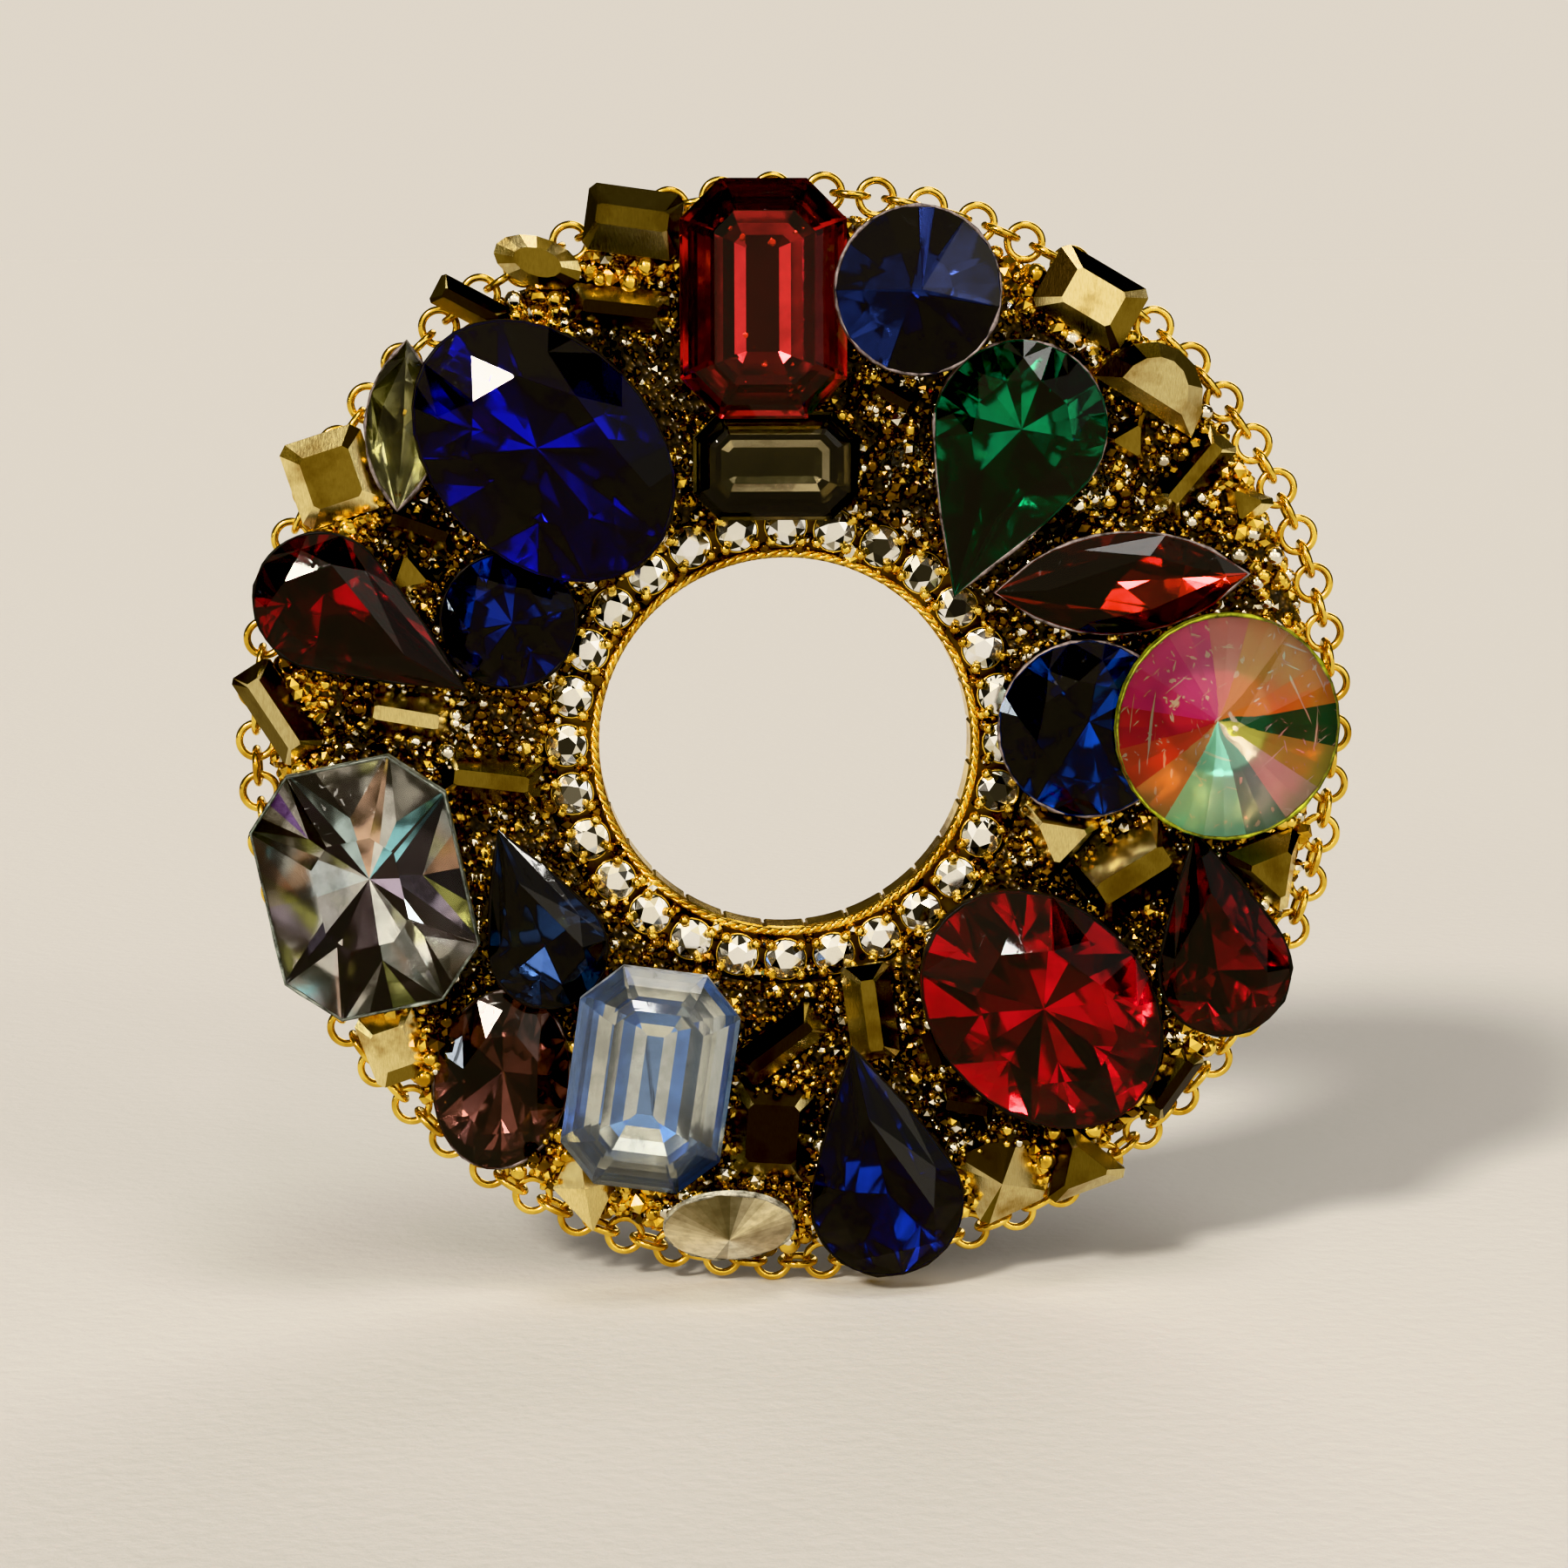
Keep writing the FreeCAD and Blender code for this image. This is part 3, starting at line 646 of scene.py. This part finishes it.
class Cutter:
    """Cuts one stone's facets in its own axes, into a mesh that may hold several stones."""

    def __init__(self, stone, mesh, chance):
        self.stone = stone
        self.mesh = mesh
        self.chance = chance
        self.made = {}
        layers = mesh.faces.layers.float
        self.facet = layers.get("facet") or layers.new("facet")
        self.azimuth = layers.get("azimuth") or layers.new("azimuth")

    def vert(self, x, y, z):
        key = (round(x * 1e7), round(y * 1e7), round(z * 1e7))
        if key not in self.made:
            self.made[key] = self.mesh.verts.new(self.stone.place(x, y, z))
        return self.made[key]

    def face(self, points, kind):
        corners = []
        for p in points:
            v = self.vert(*p)
            if v not in corners:
                corners.append(v)
        if len(corners) < 3:
            return
        face = self.mesh.faces.new(corners)
        face.material_index = kind
        face[self.facet] = self.chance.random()
        x = sum(p[0] for p in points)
        y = sum(p[1] for p in points)
        face[self.azimuth] = math.atan2(y, x) / (2 * math.pi) % 1.0

    def wall(self, low, high, kind):
        count = len(low)
        for i in range(count):
            j = (i + 1) % count
            self.face([low[i], low[j], high[j], high[i]], kind)

    def girdle(self, outline):
        low = [(*p, -self.stone.girdle_height) for p in outline]
        high = [(*p, 0.0) for p in outline]
        self.wall(low, high, RIM)

    def star(self, girdle, step, table, middle, height, level, kind, uneven=0.0):
        """Kite, star and girdle facets between an outline and a table or point, cut unevenly if asked."""
        count = len(girdle)
        mains = range(0, count, step)
        sign = 1 if height > 0 else -1
        mid_level = level + height * SNUG * (1 - middle) / (1 - table)
        reach = min(p.length for p in girdle) * uneven
        tip = Vector((self.chance.uniform(-reach, reach), self.chance.uniform(-reach, reach))) * 0.35
        tables = [(*(girdle[m] * table + tip), level + height) for m in mains]
        between = [girdle[(m + step // 2) % count] * middle for m in mains]
        halves = [(*(point * self.chance.uniform(1 - uneven, 1)), mid_level) for point in between]
        if table > 0:
            self.face(tables[::sign], kind)
        for k, m in enumerate(mains):
            corner = (*girdle[m], level)
            here, behind = halves[k], halves[k - 1]
            following = tables[(k + 1) % len(tables)]
            for facet in ([tables[k], behind, corner], [tables[k], corner, here],
                          [tables[k], here, following]):
                self.face(facet[::sign], kind)
            for n in range(step):
                edge = [(*girdle[(m + n) % count], level), (*girdle[(m + n + 1) % count], level)]
                self.face([here, *edge][::sign], kind)


def glue_fillet(cutter, outline):
    """An uneven bead of glue and foil round the girdle."""
    path = [cutter.stone.place(*(p * 0.985), -0.05 * MM) for p in outline]
    radii = [cutter.chance.triangular(0.04, 0.2, 0.08) * MM for _ in path]
    first = len(cutter.mesh.faces)
    tube(cutter.mesh, path, radii, 6, closed=True)
    cutter.mesh.faces.ensure_lookup_table()
    for face in cutter.mesh.faces[first:]:
        face.material_index = RIM


def brilliant(step=4, table=0.58, middle=0.8, culet=0.55, fineness=1):
    """A round, oval, pear or navette brilliant with a point behind."""
    def cut(cutter):
        stone = cutter.stone
        outline = [p * SNUG for p in stone.outline]
        for _ in range(fineness):
            outline = smoothed(outline)
        cutter.girdle(outline)
        cutter.star(outline, step, table, middle, stone.crown_height, 0.0, CROWN)
        cutter.star(outline, step, 0.0, culet, -stone.depth * BLUNT, -stone.girdle_height, BACK, uneven=0.2)
        if stone.depth > GLUED_DEPTH:
            glue_fillet(cutter, outline)
    return cut


def rivoli(step=2):
    """Two shallow cones of narrow facets, each meeting in a point, with a bead of glue between."""
    def cut(cutter):
        stone = cutter.stone
        outline = [p * SNUG for p in smoothed(stone.outline)]
        cutter.girdle(outline)
        count = len(outline)
        tiers = ((0.0, stone.crown_height, CROWN), (-stone.girdle_height, -stone.depth, BACK))
        for level, height, kind in tiers:
            for i in range(0, count, step):
                edge = [(*outline[(i + n) % count], level) for n in range(step + 1)]
                cutter.face([(0, 0, level + height), *edge], kind)
        glue_fillet(cutter, outline)
    return cut


def steps(cutter):
    """An emerald cut: terraces above the girdle and below it."""
    stone = cutter.stone
    outline = [p * SNUG for p in stone.outline]
    half_width = min(max(p.x for p in outline), max(p.y for p in outline))
    cutter.girdle(outline)
    crown = [(0.0, 0.0), (0.16, 0.5), (0.3, 0.84), (0.4, 1.0)]
    back = [(0.0, 0.0), (0.12, 0.24), (0.24, 0.45), (0.38, 0.64), (0.52, 0.8), (0.66, 0.92), (0.8, 1.0)]
    for tiers, level, height, kind in ((crown, 0.0, stone.crown_height, CROWN),
                                       (back, -stone.girdle_height, -stone.depth, BACK)):
        rings = []
        for share, rise in tiers:
            ring = inset(outline, share * half_width)
            rings.append([(*p, level + rise * height) for p in ring])
        for low, high in zip(rings, rings[1:]):
            cutter.wall(low, high, kind)
        cutter.face(rings[-1], kind)


# ---- the stones ---------------------------------------------------------------------------------

GREY_RIM = (0.42, 0.36, 0.36)
DARK_RIM = (0.02, 0.018, 0.02)
PALE_RIM = (0.75, 0.72, 0.6)
LIME_RIM = (0.55, 0.6, 0.08)


def painted_flashes(dark, bright, share):
    """A foil of mostly dark facets with a share of bright ones: painted reflections, set by facet."""
    return [(0.0, tuple(c * 0.3 for c in dark)), (1 - share - 0.02, dark), (1 - share + 0.02, bright),
            (1.0, tuple(min(1.0, c * 1.3) for c in bright))]


# the aurora coating's colours round the stone, with a painted white glint at 0.87, lower right
AURORA_AND_PAINTED_GLINT = [(0.0, (0.03, 0.22, 0.10)), (0.07, (1.0, 0.34, 0.06)), (0.16, (1.0, 0.50, 0.22)),
          (0.24, (1.0, 0.42, 0.38)), (0.32, (1.0, 0.22, 0.50)), (0.42, (0.75, 0.06, 0.35)),
          (0.5, (0.75, 0.03, 0.08)), (0.6, (0.8, 0.15, 0.05)), (0.66, (0.4, 0.7, 0.35)),
          (0.7, (0.35, 1.0, 0.80)), (0.82, (0.5, 1.0, 0.85)), (0.87, (1.0, 1.0, 0.85)),
          (0.93, (0.75, 0.8, 0.2)), (1.0, (0.03, 0.22, 0.10))]
# the satin coating's champagne tone, with light sectors and dark wedges painted as reflections
SILVER_PAINTED_REFLECTIONS = [(0.0, (0.4, 0.33, 0.2)), (0.12, (0.95, 0.85, 0.6)), (0.25, (0.12, 0.1, 0.05)),
                (0.4, (0.3, 0.25, 0.14)), (0.55, (0.9, 0.8, 0.58)), (0.72, (1.0, 0.93, 0.75)),
                (0.745, (0.15, 0.12, 0.06)), (0.77, (1.0, 0.95, 0.8)), (0.9, (0.6, 0.5, 0.33)),
                (1.0, (0.4, 0.33, 0.2))]
# painted reflections on the clear crystal's foil: dark and white facets, with a few rainbow facets as painted
# glints
PAINTED_SPECTRAL_FLASHES = [(0.0, (0.02, 0.02, 0.03)), (0.2, (0.12, 0.1, 0.1)), (0.23, (1.0, 0.97, 0.9)),
            (0.52, (0.98, 0.97, 0.93)), (0.55, (0.5, 0.25, 0.95)), (0.6, (1.0, 0.98, 0.95)),
            (0.74, (1.0, 1.0, 0.96)), (0.77, (0.3, 0.85, 1.0)), (0.8, (1.0, 1.0, 0.97)),
            (0.86, (0.9, 0.95, 0.3)), (0.9, (1.0, 0.96, 0.9)), (0.96, (1.0, 0.6, 0.4)),
            (1.0, (1.0, 1.0, 1.0))]
OPALINE = [(0.0, (0.16, 0.36, 0.9)), (0.38, (0.4, 0.62, 1.0)), (0.48, (1.0, 0.97, 0.86)),
           (0.95, (1.0, 0.92, 0.72))]

# bearing: the side that the foil is painted brightest on (painted light, with painted shade opposite), a
# share of a turn from the right, anticlockwise
Look = namedtuple("Look", "cut tint foil rim bearing haze milk rough back",
                  defaults=(0.25, 0.0, 0.0, 0.02, foil))
LOOKS = {
    "blue_oval": Look(brilliant(), (0.015, 0.025, 0.85), painted_flashes((0.01, 0.01, 0.06), (0.6, 0.65, 1.0), 0.42),
                      DARK_RIM, 0.28),
    "pink_octagon": Look(steps, (0.9, 0.085, 0.09), painted_flashes((0.2, 0.07, 0.07), (0.95, 0.8, 0.75), 0.66),
                         (0.3, 0.02, 0.04), 0.75),
    "navy_round": Look(rivoli(3), (0.035, 0.06, 0.22), painted_flashes((0.02, 0.025, 0.05), (0.85, 0.95, 1.0), 0.42),
                       GREY_RIM, 0.95),
    "green_pear": Look(brilliant(), (0.01, 0.42, 0.18), painted_flashes((0.03, 0.06, 0.04), (0.9, 1.0, 0.9), 0.52),
                       GREY_RIM, 0.12),
    "orange_navette": Look(brilliant(8), (0.85, 0.05, 0.004),
                           painted_flashes((0.1, 0.05, 0.03), (0.5, 0.36, 0.22), 0.45), GREY_RIM, 0.1),
    "ab_rivoli": Look(rivoli(2), (0.98, 0.97, 0.95), AURORA_AND_PAINTED_GLINT, LIME_RIM, 0.0, 0.0, 0.0, 0.1, fan_foil),
    "sapphire_round": Look(brilliant(), (0.01, 0.12, 0.75),
                           painted_flashes((0.01, 0.02, 0.05), (0.7, 0.9, 1.0), 0.55), GREY_RIM, 0.85),
    "red_oval": Look(brilliant(), (0.95, 0.012, 0.03), painted_flashes((0.12, 0.05, 0.05), (1.0, 0.8, 0.8), 0.68),
                     DARK_RIM, 0.3),
    "garnet_pear": Look(brilliant(8), (0.3, 0.01, 0.015), painted_flashes((0.1, 0.05, 0.05), (1.0, 0.8, 0.8), 0.55),
                        DARK_RIM, 0.9),
    "blue_pear": Look(brilliant(8), (0.015, 0.07, 0.65), painted_flashes((0.02, 0.02, 0.06), (0.8, 0.9, 1.0), 0.55),
                      DARK_RIM, 0.35),
    "opal_octagon": Look(steps, (0.84, 0.91, 0.98), OPALINE, (0.7, 0.76, 0.85), 0.25, 0.01, 0.06, 0.1),
    "purple_oval": Look(brilliant(), (0.22, 0.11, 0.10), painted_flashes((0.12, 0.09, 0.09), (0.9, 0.8, 0.75), 0.6),
                        GREY_RIM, 0.75, 0.05),
    "navy_pear": Look(brilliant(8), (0.05, 0.09, 0.2), painted_flashes((0.05, 0.06, 0.1), (0.8, 0.9, 1.0), 0.55),
                      DARK_RIM, 0.25),
    "crystal_octagon": Look(brilliant(table=0.42, middle=0.72, fineness=2), (0.99, 0.99, 0.98), PAINTED_SPECTRAL_FLASHES,
                            (0.5, 0.55, 0.5), 0.1, 0.0, 0.0, 0.07),
    "ruby_pear": Look(brilliant(8), (0.6, 0.008, 0.02), painted_flashes((0.08, 0.03, 0.03), (1.0, 0.7, 0.7), 0.45),
                      DARK_RIM, 0.9),
    "small_blue_round": Look(brilliant(), (0.03, 0.07, 0.5),
                             painted_flashes((0.03, 0.03, 0.07), (0.8, 0.9, 1.0), 0.5), DARK_RIM, 0.25),
    "crystal_navette": Look(brilliant(8), (0.98, 0.98, 0.85),
                            painted_flashes((0.5, 0.46, 0.2), (1.0, 0.97, 0.62), 0.9),
                            GREY_RIM, 0.75, 0.0, 0.0, 0.12),
    "crystal_baguette": Look(steps, (0.97, 0.97, 0.93), painted_flashes((0.08, 0.07, 0.04), (0.55, 0.48, 0.32), 0.5),
                             PALE_RIM, 0.5),
    "crystal_chips": Look(brilliant(12), (0.97, 0.97, 0.93), painted_flashes((0.2, 0.2, 0.18), (1, 1, 0.95), 0.5),
                          PALE_RIM),
}
# painted reflections of the small rhinestones: dark and bright facets
PAINTED_RHINESTONE_FLASHES = [(0.0, (0.01, 0.01, 0.01)), (0.22, (0.06, 0.055, 0.04)), (0.3, (0.75, 0.7, 0.55)),
              (0.5, (0.95, 0.93, 0.85)), (1.0, (1, 1, 1))]


def cut_stones(node, cut, materials):
    """Every stone of a CAD node cut anew, each inside its own outline."""
    mesh = bmesh.new()
    chance = random.Random(node)
    for part in islands(node):
        cut(Cutter(StoneFrame(part), mesh, chance))
    bmesh.ops.recalc_face_normals(mesh, faces=mesh.faces)
    settle(add_piece(mesh, node + "_stone", materials), node)


def make_stones():
    """The named stones, the pearl-coated round and the rhinestones."""
    for node, look in LOOKS.items():
        cut_stones(node, look.cut, [glass_skin(node + "_glass", look.tint, look.haze, look.milk),
                                    look.back(node + "_foil", look.foil, look.rough, look.bearing),
                                    rim_paint(node + "_rim", look.rim)])
    satin = satin_silver("pearl_satin", SILVER_PAINTED_REFLECTIONS)
    cut_stones("pearl_round", rivoli(1), [satin, satin, rim_paint("pearl_rim", PALE_RIM)])
    crystal = cut_crystal("rhinestone", PAINTED_RHINESTONE_FLASHES)
    cut_stones("cup_chain_rhinestones", brilliant(6, table=0.5), [crystal, crystal, crystal])


# ---- the cup chain and the hole's lining --------------------------------------------------------

class Cup:
    """Where one CAD cup stands: its centre in the plane of the back, its foot, top and bearing."""

    def __init__(self, part):
        xs = [v.co.x for v in part.verts]
        zs = [v.co.z for v in part.verts]
        outs = [-v.co.y for v in part.verts]
        part.free()
        self.centre = Vector(((min(xs) + max(xs)) / 2, 0, (min(zs) + max(zs)) / 2))
        self.foot = min(outs)
        self.top = max(outs)
        self.bearing = math.atan2(self.centre.z, self.centre.x)


CUP_RADIUS = 1.4 * MM
CUP_PROFILE = [(0.72, 0.02), (0.88, 0.05), (0.91, 0.2), (0.9, 0.55), (0.94, 0.68), (0.93, 0.73), (0.88, 0.73),
               (0.87, 0.68), (0.86, 0.3), (0.7, 0.2)]
PRONG_PATH = [(0.95, 0.3), (0.97, 0.55), (0.97, 0.7), (0.94, 0.8), (0.9, 0.88), (0.84, 0.95), (0.8, 0.985)]
PRONG_RADII = [0.16, 0.2, 0.27, 0.33, 0.35, 0.28, 0.12]


def make_cups(cups, plating):
    """Thin round cups, each with four prongs bent over its rhinestone to a round tip."""
    mesh = bmesh.new()
    for cup in cups:
        tall = cup.top - cup.foot
        profile = [(r * CUP_RADIUS, cup.foot + h * tall) for r, h in CUP_PROFILE]
        lathe(mesh, cup.centre, profile, 24)
        for k in range(4):
            angle = cup.bearing + math.radians(45 + 90 * k)
            away = RIGHT * math.cos(angle) + UP * math.sin(angle)
            path = [cup.centre + away * (r * CUP_RADIUS) + FRONT * (cup.foot + h * tall)
                    for r, h in PRONG_PATH]
            tube(mesh, path, [r * MM for r in PRONG_RADII], 8)
    bmesh.ops.recalc_face_normals(mesh, faces=mesh.faces)
    settle(add_piece(mesh, "cup_chain_settings", [plating]), "cup_chain_cups")


LINING_DEPTH = 0.5 * MM
SLEEVE_WALL = 0.15 * MM
ROPE_TURN = 0.12 * MM              # how far each strand winds from the rope's middle
ROPE_STRAND = 0.14 * MM


def make_lining(cups, plating):
    """The hole's lining: a thin sleeve, a plate behind each cup, and a two-strand rope along its edge."""
    low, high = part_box("hole_collar")
    outer = (high.x - low.x) / 2
    inner = outer - LINING_DEPTH
    tall = -low.y
    mesh = bmesh.new()
    wall = outer - SLEEVE_WALL
    edge = tall - 0.1 * MM
    sleeve = [(wall, 0), (outer, 0), (outer, edge), (wall, edge)]
    lathe(mesh, Vector(), sleeve, 168)
    half = math.pi / len(cups) * 0.95
    for cup in cups:
        panel(mesh, cup.bearing, half, inner, outer - 0.12 * MM, 0.45 * MM, tall - 0.35 * MM)
    twists = 2 * len(cups)
    count = 12 * twists
    for strand in (0.0, math.pi):
        path = []
        for i in range(count):
            turn = 2 * math.pi * i / count
            wind = turn * twists + strand
            radius = inner + 0.27 * MM + ROPE_TURN * math.cos(wind)
            path.append((RIGHT * math.cos(turn) + UP * math.sin(turn)) * radius
                        + FRONT * (tall - 0.05 * MM + ROPE_TURN * math.sin(wind)))
        tube(mesh, path, [ROPE_STRAND] * count, 6, closed=True)
    bmesh.ops.recalc_face_normals(mesh, faces=mesh.faces)
    settle(add_piece(mesh, "hole_lining", [plating]), "hole_collar")


def panel(mesh, bearing, half, inner, outer, foot, top):
    """A curved plate with softened edges, seen from inside the hole."""
    soft = 0.1 * MM
    rings = []
    for radius, trim in ((outer, 0), (inner + soft, 0), (inner, soft)):
        ring = []
        spread = half - trim / inner
        for share in (-1, -0.5, 0, 0.5, 1):
            ring.append((bearing + spread * share, foot + trim))
        for share in (1, 0.5, 0, -0.5, -1):
            ring.append((bearing + spread * share, top - trim))
        rings.append([mesh.verts.new((RIGHT * math.cos(a) + UP * math.sin(a)) * radius + FRONT * h)
                      for a, h in ring])
    for low, high in zip(rings, rings[1:]):
        for i in range(10):
            j = (i + 1) % 10
            mesh.faces.new([low[i], low[j], high[j], high[i]])
    for cap in (rings[0], rings[-1]):
        for i in range(4):
            mesh.faces.new([cap[i], cap[i + 1], cap[8 - i], cap[9 - i]])


# ---- grit ---------------------------------------------------------------------------------------

GRIT_PITCH = 0.56 * MM
GRIT_LAYERS = 5
RIM_BAND = 28.5 * MM               # beyond this the grit is coarse gold nuggets
RIM_PITCH = 0.5 * MM
RIM_ROWS = 3
IN_FRONT = -0.03                   # where rays towards the brooch start, well ahead of its stones
GRAIN_SHAPES = 12
ROUND_SHAPES = 4                   # the first of them are round beads, the others crumbs


def tree_of(nodes):
    """A search tree of the faces of some CAD nodes."""
    work = bmesh.new()
    for node in nodes:
        work.from_mesh(frame["nodes"][node].data)
    tree = BVHTree.FromBMesh(work)
    work.free()
    return tree


def grit_places(chance):
    """(centre, radius) of grains heaped on the bed and against the stones, clear of them."""
    bed = tree_of(["granule_bed"])
    plate = tree_of(["base_plate"])
    glued = [n for n in SLOT_OF if n not in ("granule_bed", "back_felt", "base_plate", "pin_stem", "pin_bar",
                                             "catch_barrel", "catch_housing", "hinge_rivet")
             and not n.startswith("rim_chain")]
    stones = tree_of(glued)
    low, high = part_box("granule_bed")
    columns = int((high.x - low.x) / GRIT_PITCH)
    rows = int((high.z - low.z) / GRIT_PITCH)
    for row in range(rows):
        for column in range(columns):
            x = low.x + (column + 0.5 * (row % 2) + chance.uniform(-0.35, 0.35)) * GRIT_PITCH
            z = low.z + (row + chance.uniform(-0.35, 0.35)) * GRIT_PITCH
            start = Vector((x, IN_FRONT, z))
            hit = bed.ray_cast(start, -FRONT)[0]
            room = 0.7
            if hit is None and not stones.ray_cast(start, -FRONT)[0]:
                hit = plate.ray_cast(start, -FRONT)[0]
                room = 0.3
            if hit is None:
                continue
            for layer in range(GRIT_LAYERS):
                coarse = (start - disc_centre).xz.length > RIM_BAND
                radius = chance.triangular(0.12, 0.8 if coarse else 0.6, 0.45 if coarse else 0.18) * MM
                drift = Vector((chance.uniform(-0.2, 0.2), 0, chance.uniform(-0.2, 0.2))) * MM * min(layer, 1)
                centre = hit + FRONT * (0.12 + 0.36 * layer) * MM + drift
                nearest, normal, _, gap = stones.find_nearest(centre)
                outside = (centre - nearest).dot(normal) > 0
                if outside and gap > radius * room and (layer == 0 or gap < (1.1 - 0.13 * layer) * MM):
                    yield centre, radius


def rim_places(chance):
    """(centre, radius) of grains on the bed's outer wall, behind the rim chain."""
    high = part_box("granule_bed")[1]
    reach = high.x - disc_centre.x - 0.15 * MM
    count = int(2 * math.pi * reach / RIM_PITCH)
    for k in range(RIM_ROWS * count):
        angle = 2 * math.pi * (k + chance.uniform(-0.5, 0.5)) / count
        rise = (0.25 + 0.4 * (k // count) + chance.uniform(-0.15, 0.15)) * MM
        centre = disc_centre + (RIGHT * math.cos(angle) + UP * math.sin(angle)) * reach
        yield Vector((centre.x, high.y - rise, centre.z)), chance.triangular(0.15, 0.4, 0.25) * MM


def grain(chance, round_one):
    """A unit grain: a round bead, or an angular crumb of glass or metal."""
    ball = bmesh.new()
    bmesh.ops.create_icosphere(ball, subdivisions=2 if round_one else 1, radius=1.0)
    stretch = Vector([1.0 if round_one else chance.uniform(0.65, 1.15) for _ in range(3)])
    points = [Vector(v.co[k] * stretch[k] for k in range(3)) for v in ball.verts]
    faces = [[v.index for v in f.verts] for f in ball.faces]
    ball.free()
    return points, faces


def make_grit(materials):
    """Thousands of grains in gold, bronze and clear, round ones smooth and crumbs faceted."""
    chance = random.Random("grit")
    shapes = [grain(chance, k < ROUND_SHAPES) for k in range(GRAIN_SHAPES)]
    points = []
    faces = []
    kinds = []
    smooth = []
    for centre, radius in [*grit_places(chance), *rim_places(chance)]:
        shape = chance.randrange(GRAIN_SHAPES)
        turn = Matrix.Rotation(chance.uniform(0, 6.28), 3, Vector([chance.gauss(0, 1) for _ in range(3)]))
        start = len(points)
        unit_points, unit_faces = shapes[shape]
        points.extend(centre + turn @ p * radius for p in unit_points)
        faces.extend([start + i for i in f] for f in unit_faces)
        richness = noise.noise(centre * 140) * 0.5 + 0.5
        rim = (centre - disc_centre).length > RIM_BAND
        weights = (0.8, 0.15, 0.1) if rim else (0.06 + 0.4 * richness, 0.6, 0.06 + 0.3 * (1 - richness))
        kind = chance.choices(range(len(materials)), weights)[0]
        kinds.extend([kind] * len(unit_faces))
        smooth.extend([shape < ROUND_SHAPES] * len(unit_faces))
    data = bpy.data.meshes.new("grit")
    data.from_pydata(points, [], faces)
    data.polygons.foreach_set("material_index", kinds)
    data.polygons.foreach_set("use_smooth", smooth)
    for material in materials:
        data.materials.append(material)
    piece = bpy.data.objects.new("grit", data)
    bpy.context.scene.collection.objects.link(piece)
    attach(piece, ROOT)


# ---- CAD nodes that stay ------------------------------------------------------------------------

def dress(node, material, edge=0.0):
    """A CAD node's material, with its sharp edges softened by edge."""
    piece = frame["nodes"][node]
    piece.data.materials.clear()
    piece.data.materials.append(material)
    if edge:
        bevel = piece.modifiers.new("edge", "BEVEL")
        bevel.width = edge
        bevel.segments = 2
        bevel.limit_method = "ANGLE"
        bevel.angle_limit = math.radians(25)


def dress_cad_nodes(plating):
    """Every CAD node that shows as it is, in its own metal, mirror, glue or felt; the base plate's brass is
    painted dark as painted shade.
    """
    pin_gold = gold("pin_gold", bright=(0.88, 0.72, 0.42), dark=(0.72, 0.56, 0.29), rough=(0.15, 0.38),
                    grain=(0.12, 1, 1))
    wire = gold("pin_wire", bright=(0.8, 0.78, 0.73), dark=(0.45, 0.43, 0.4), rough=(0.08, 0.25),
                grain=(0.1, 1, 1))
    mirrors = [gold_mirror(f"gold_mirror_{k}", shade, 3.0 + k)
               for k, shade in enumerate((1.0, 0.7, 0.9, 0.5, 1.0))]
    for k, (node, slot) in enumerate(SLOT_OF.items()):
        if slot == "gold_mirror":
            dress(node, mirrors[k % len(mirrors)], 0.07 * MM)
        elif slot == "gold_plating":
            dress(node, plating)
        elif slot == "pin_metal":
            dress(node, pin_gold)
        elif slot == "pin_wire":
            dress(node, wire)
    # the base plate's brass painted dark, painted shade in the gaps between the cups
    dress("base_plate", gold("brass_plate", bright=(0.22, 0.14, 0.04), dark=(0.06, 0.035, 0.01),
                             rough=(0.3, 0.6)))
    dress("granule_bed", glue_material())
    dress("back_felt", felt_material())


scene = bpy.context.scene
scene.view_settings.view_transform = "Khronos PBR Neutral"
deepen_blacks(scene.view_settings)
make_camera()
make_world()
make_lights()
make_floor()
plating = gold("gold_plating")
dress_cad_nodes(plating)
make_stones()
cup_list = [Cup(part) for part in islands("cup_chain_cups")]
make_cups(cup_list, plating)
make_lining(cup_list, plating)
make_grit([gold("grit_gold", rough=(0.05, 0.25)),
           gold("grit_bronze", bright=(0.22, 0.12, 0.03), dark=(0.02, 0.012, 0.004), rough=(0.03, 0.2)),
           gold("grit_clear", bright=(0.98, 0.94, 0.84), dark=(0.45, 0.4, 0.3), rough=(0.02, 0.12))])
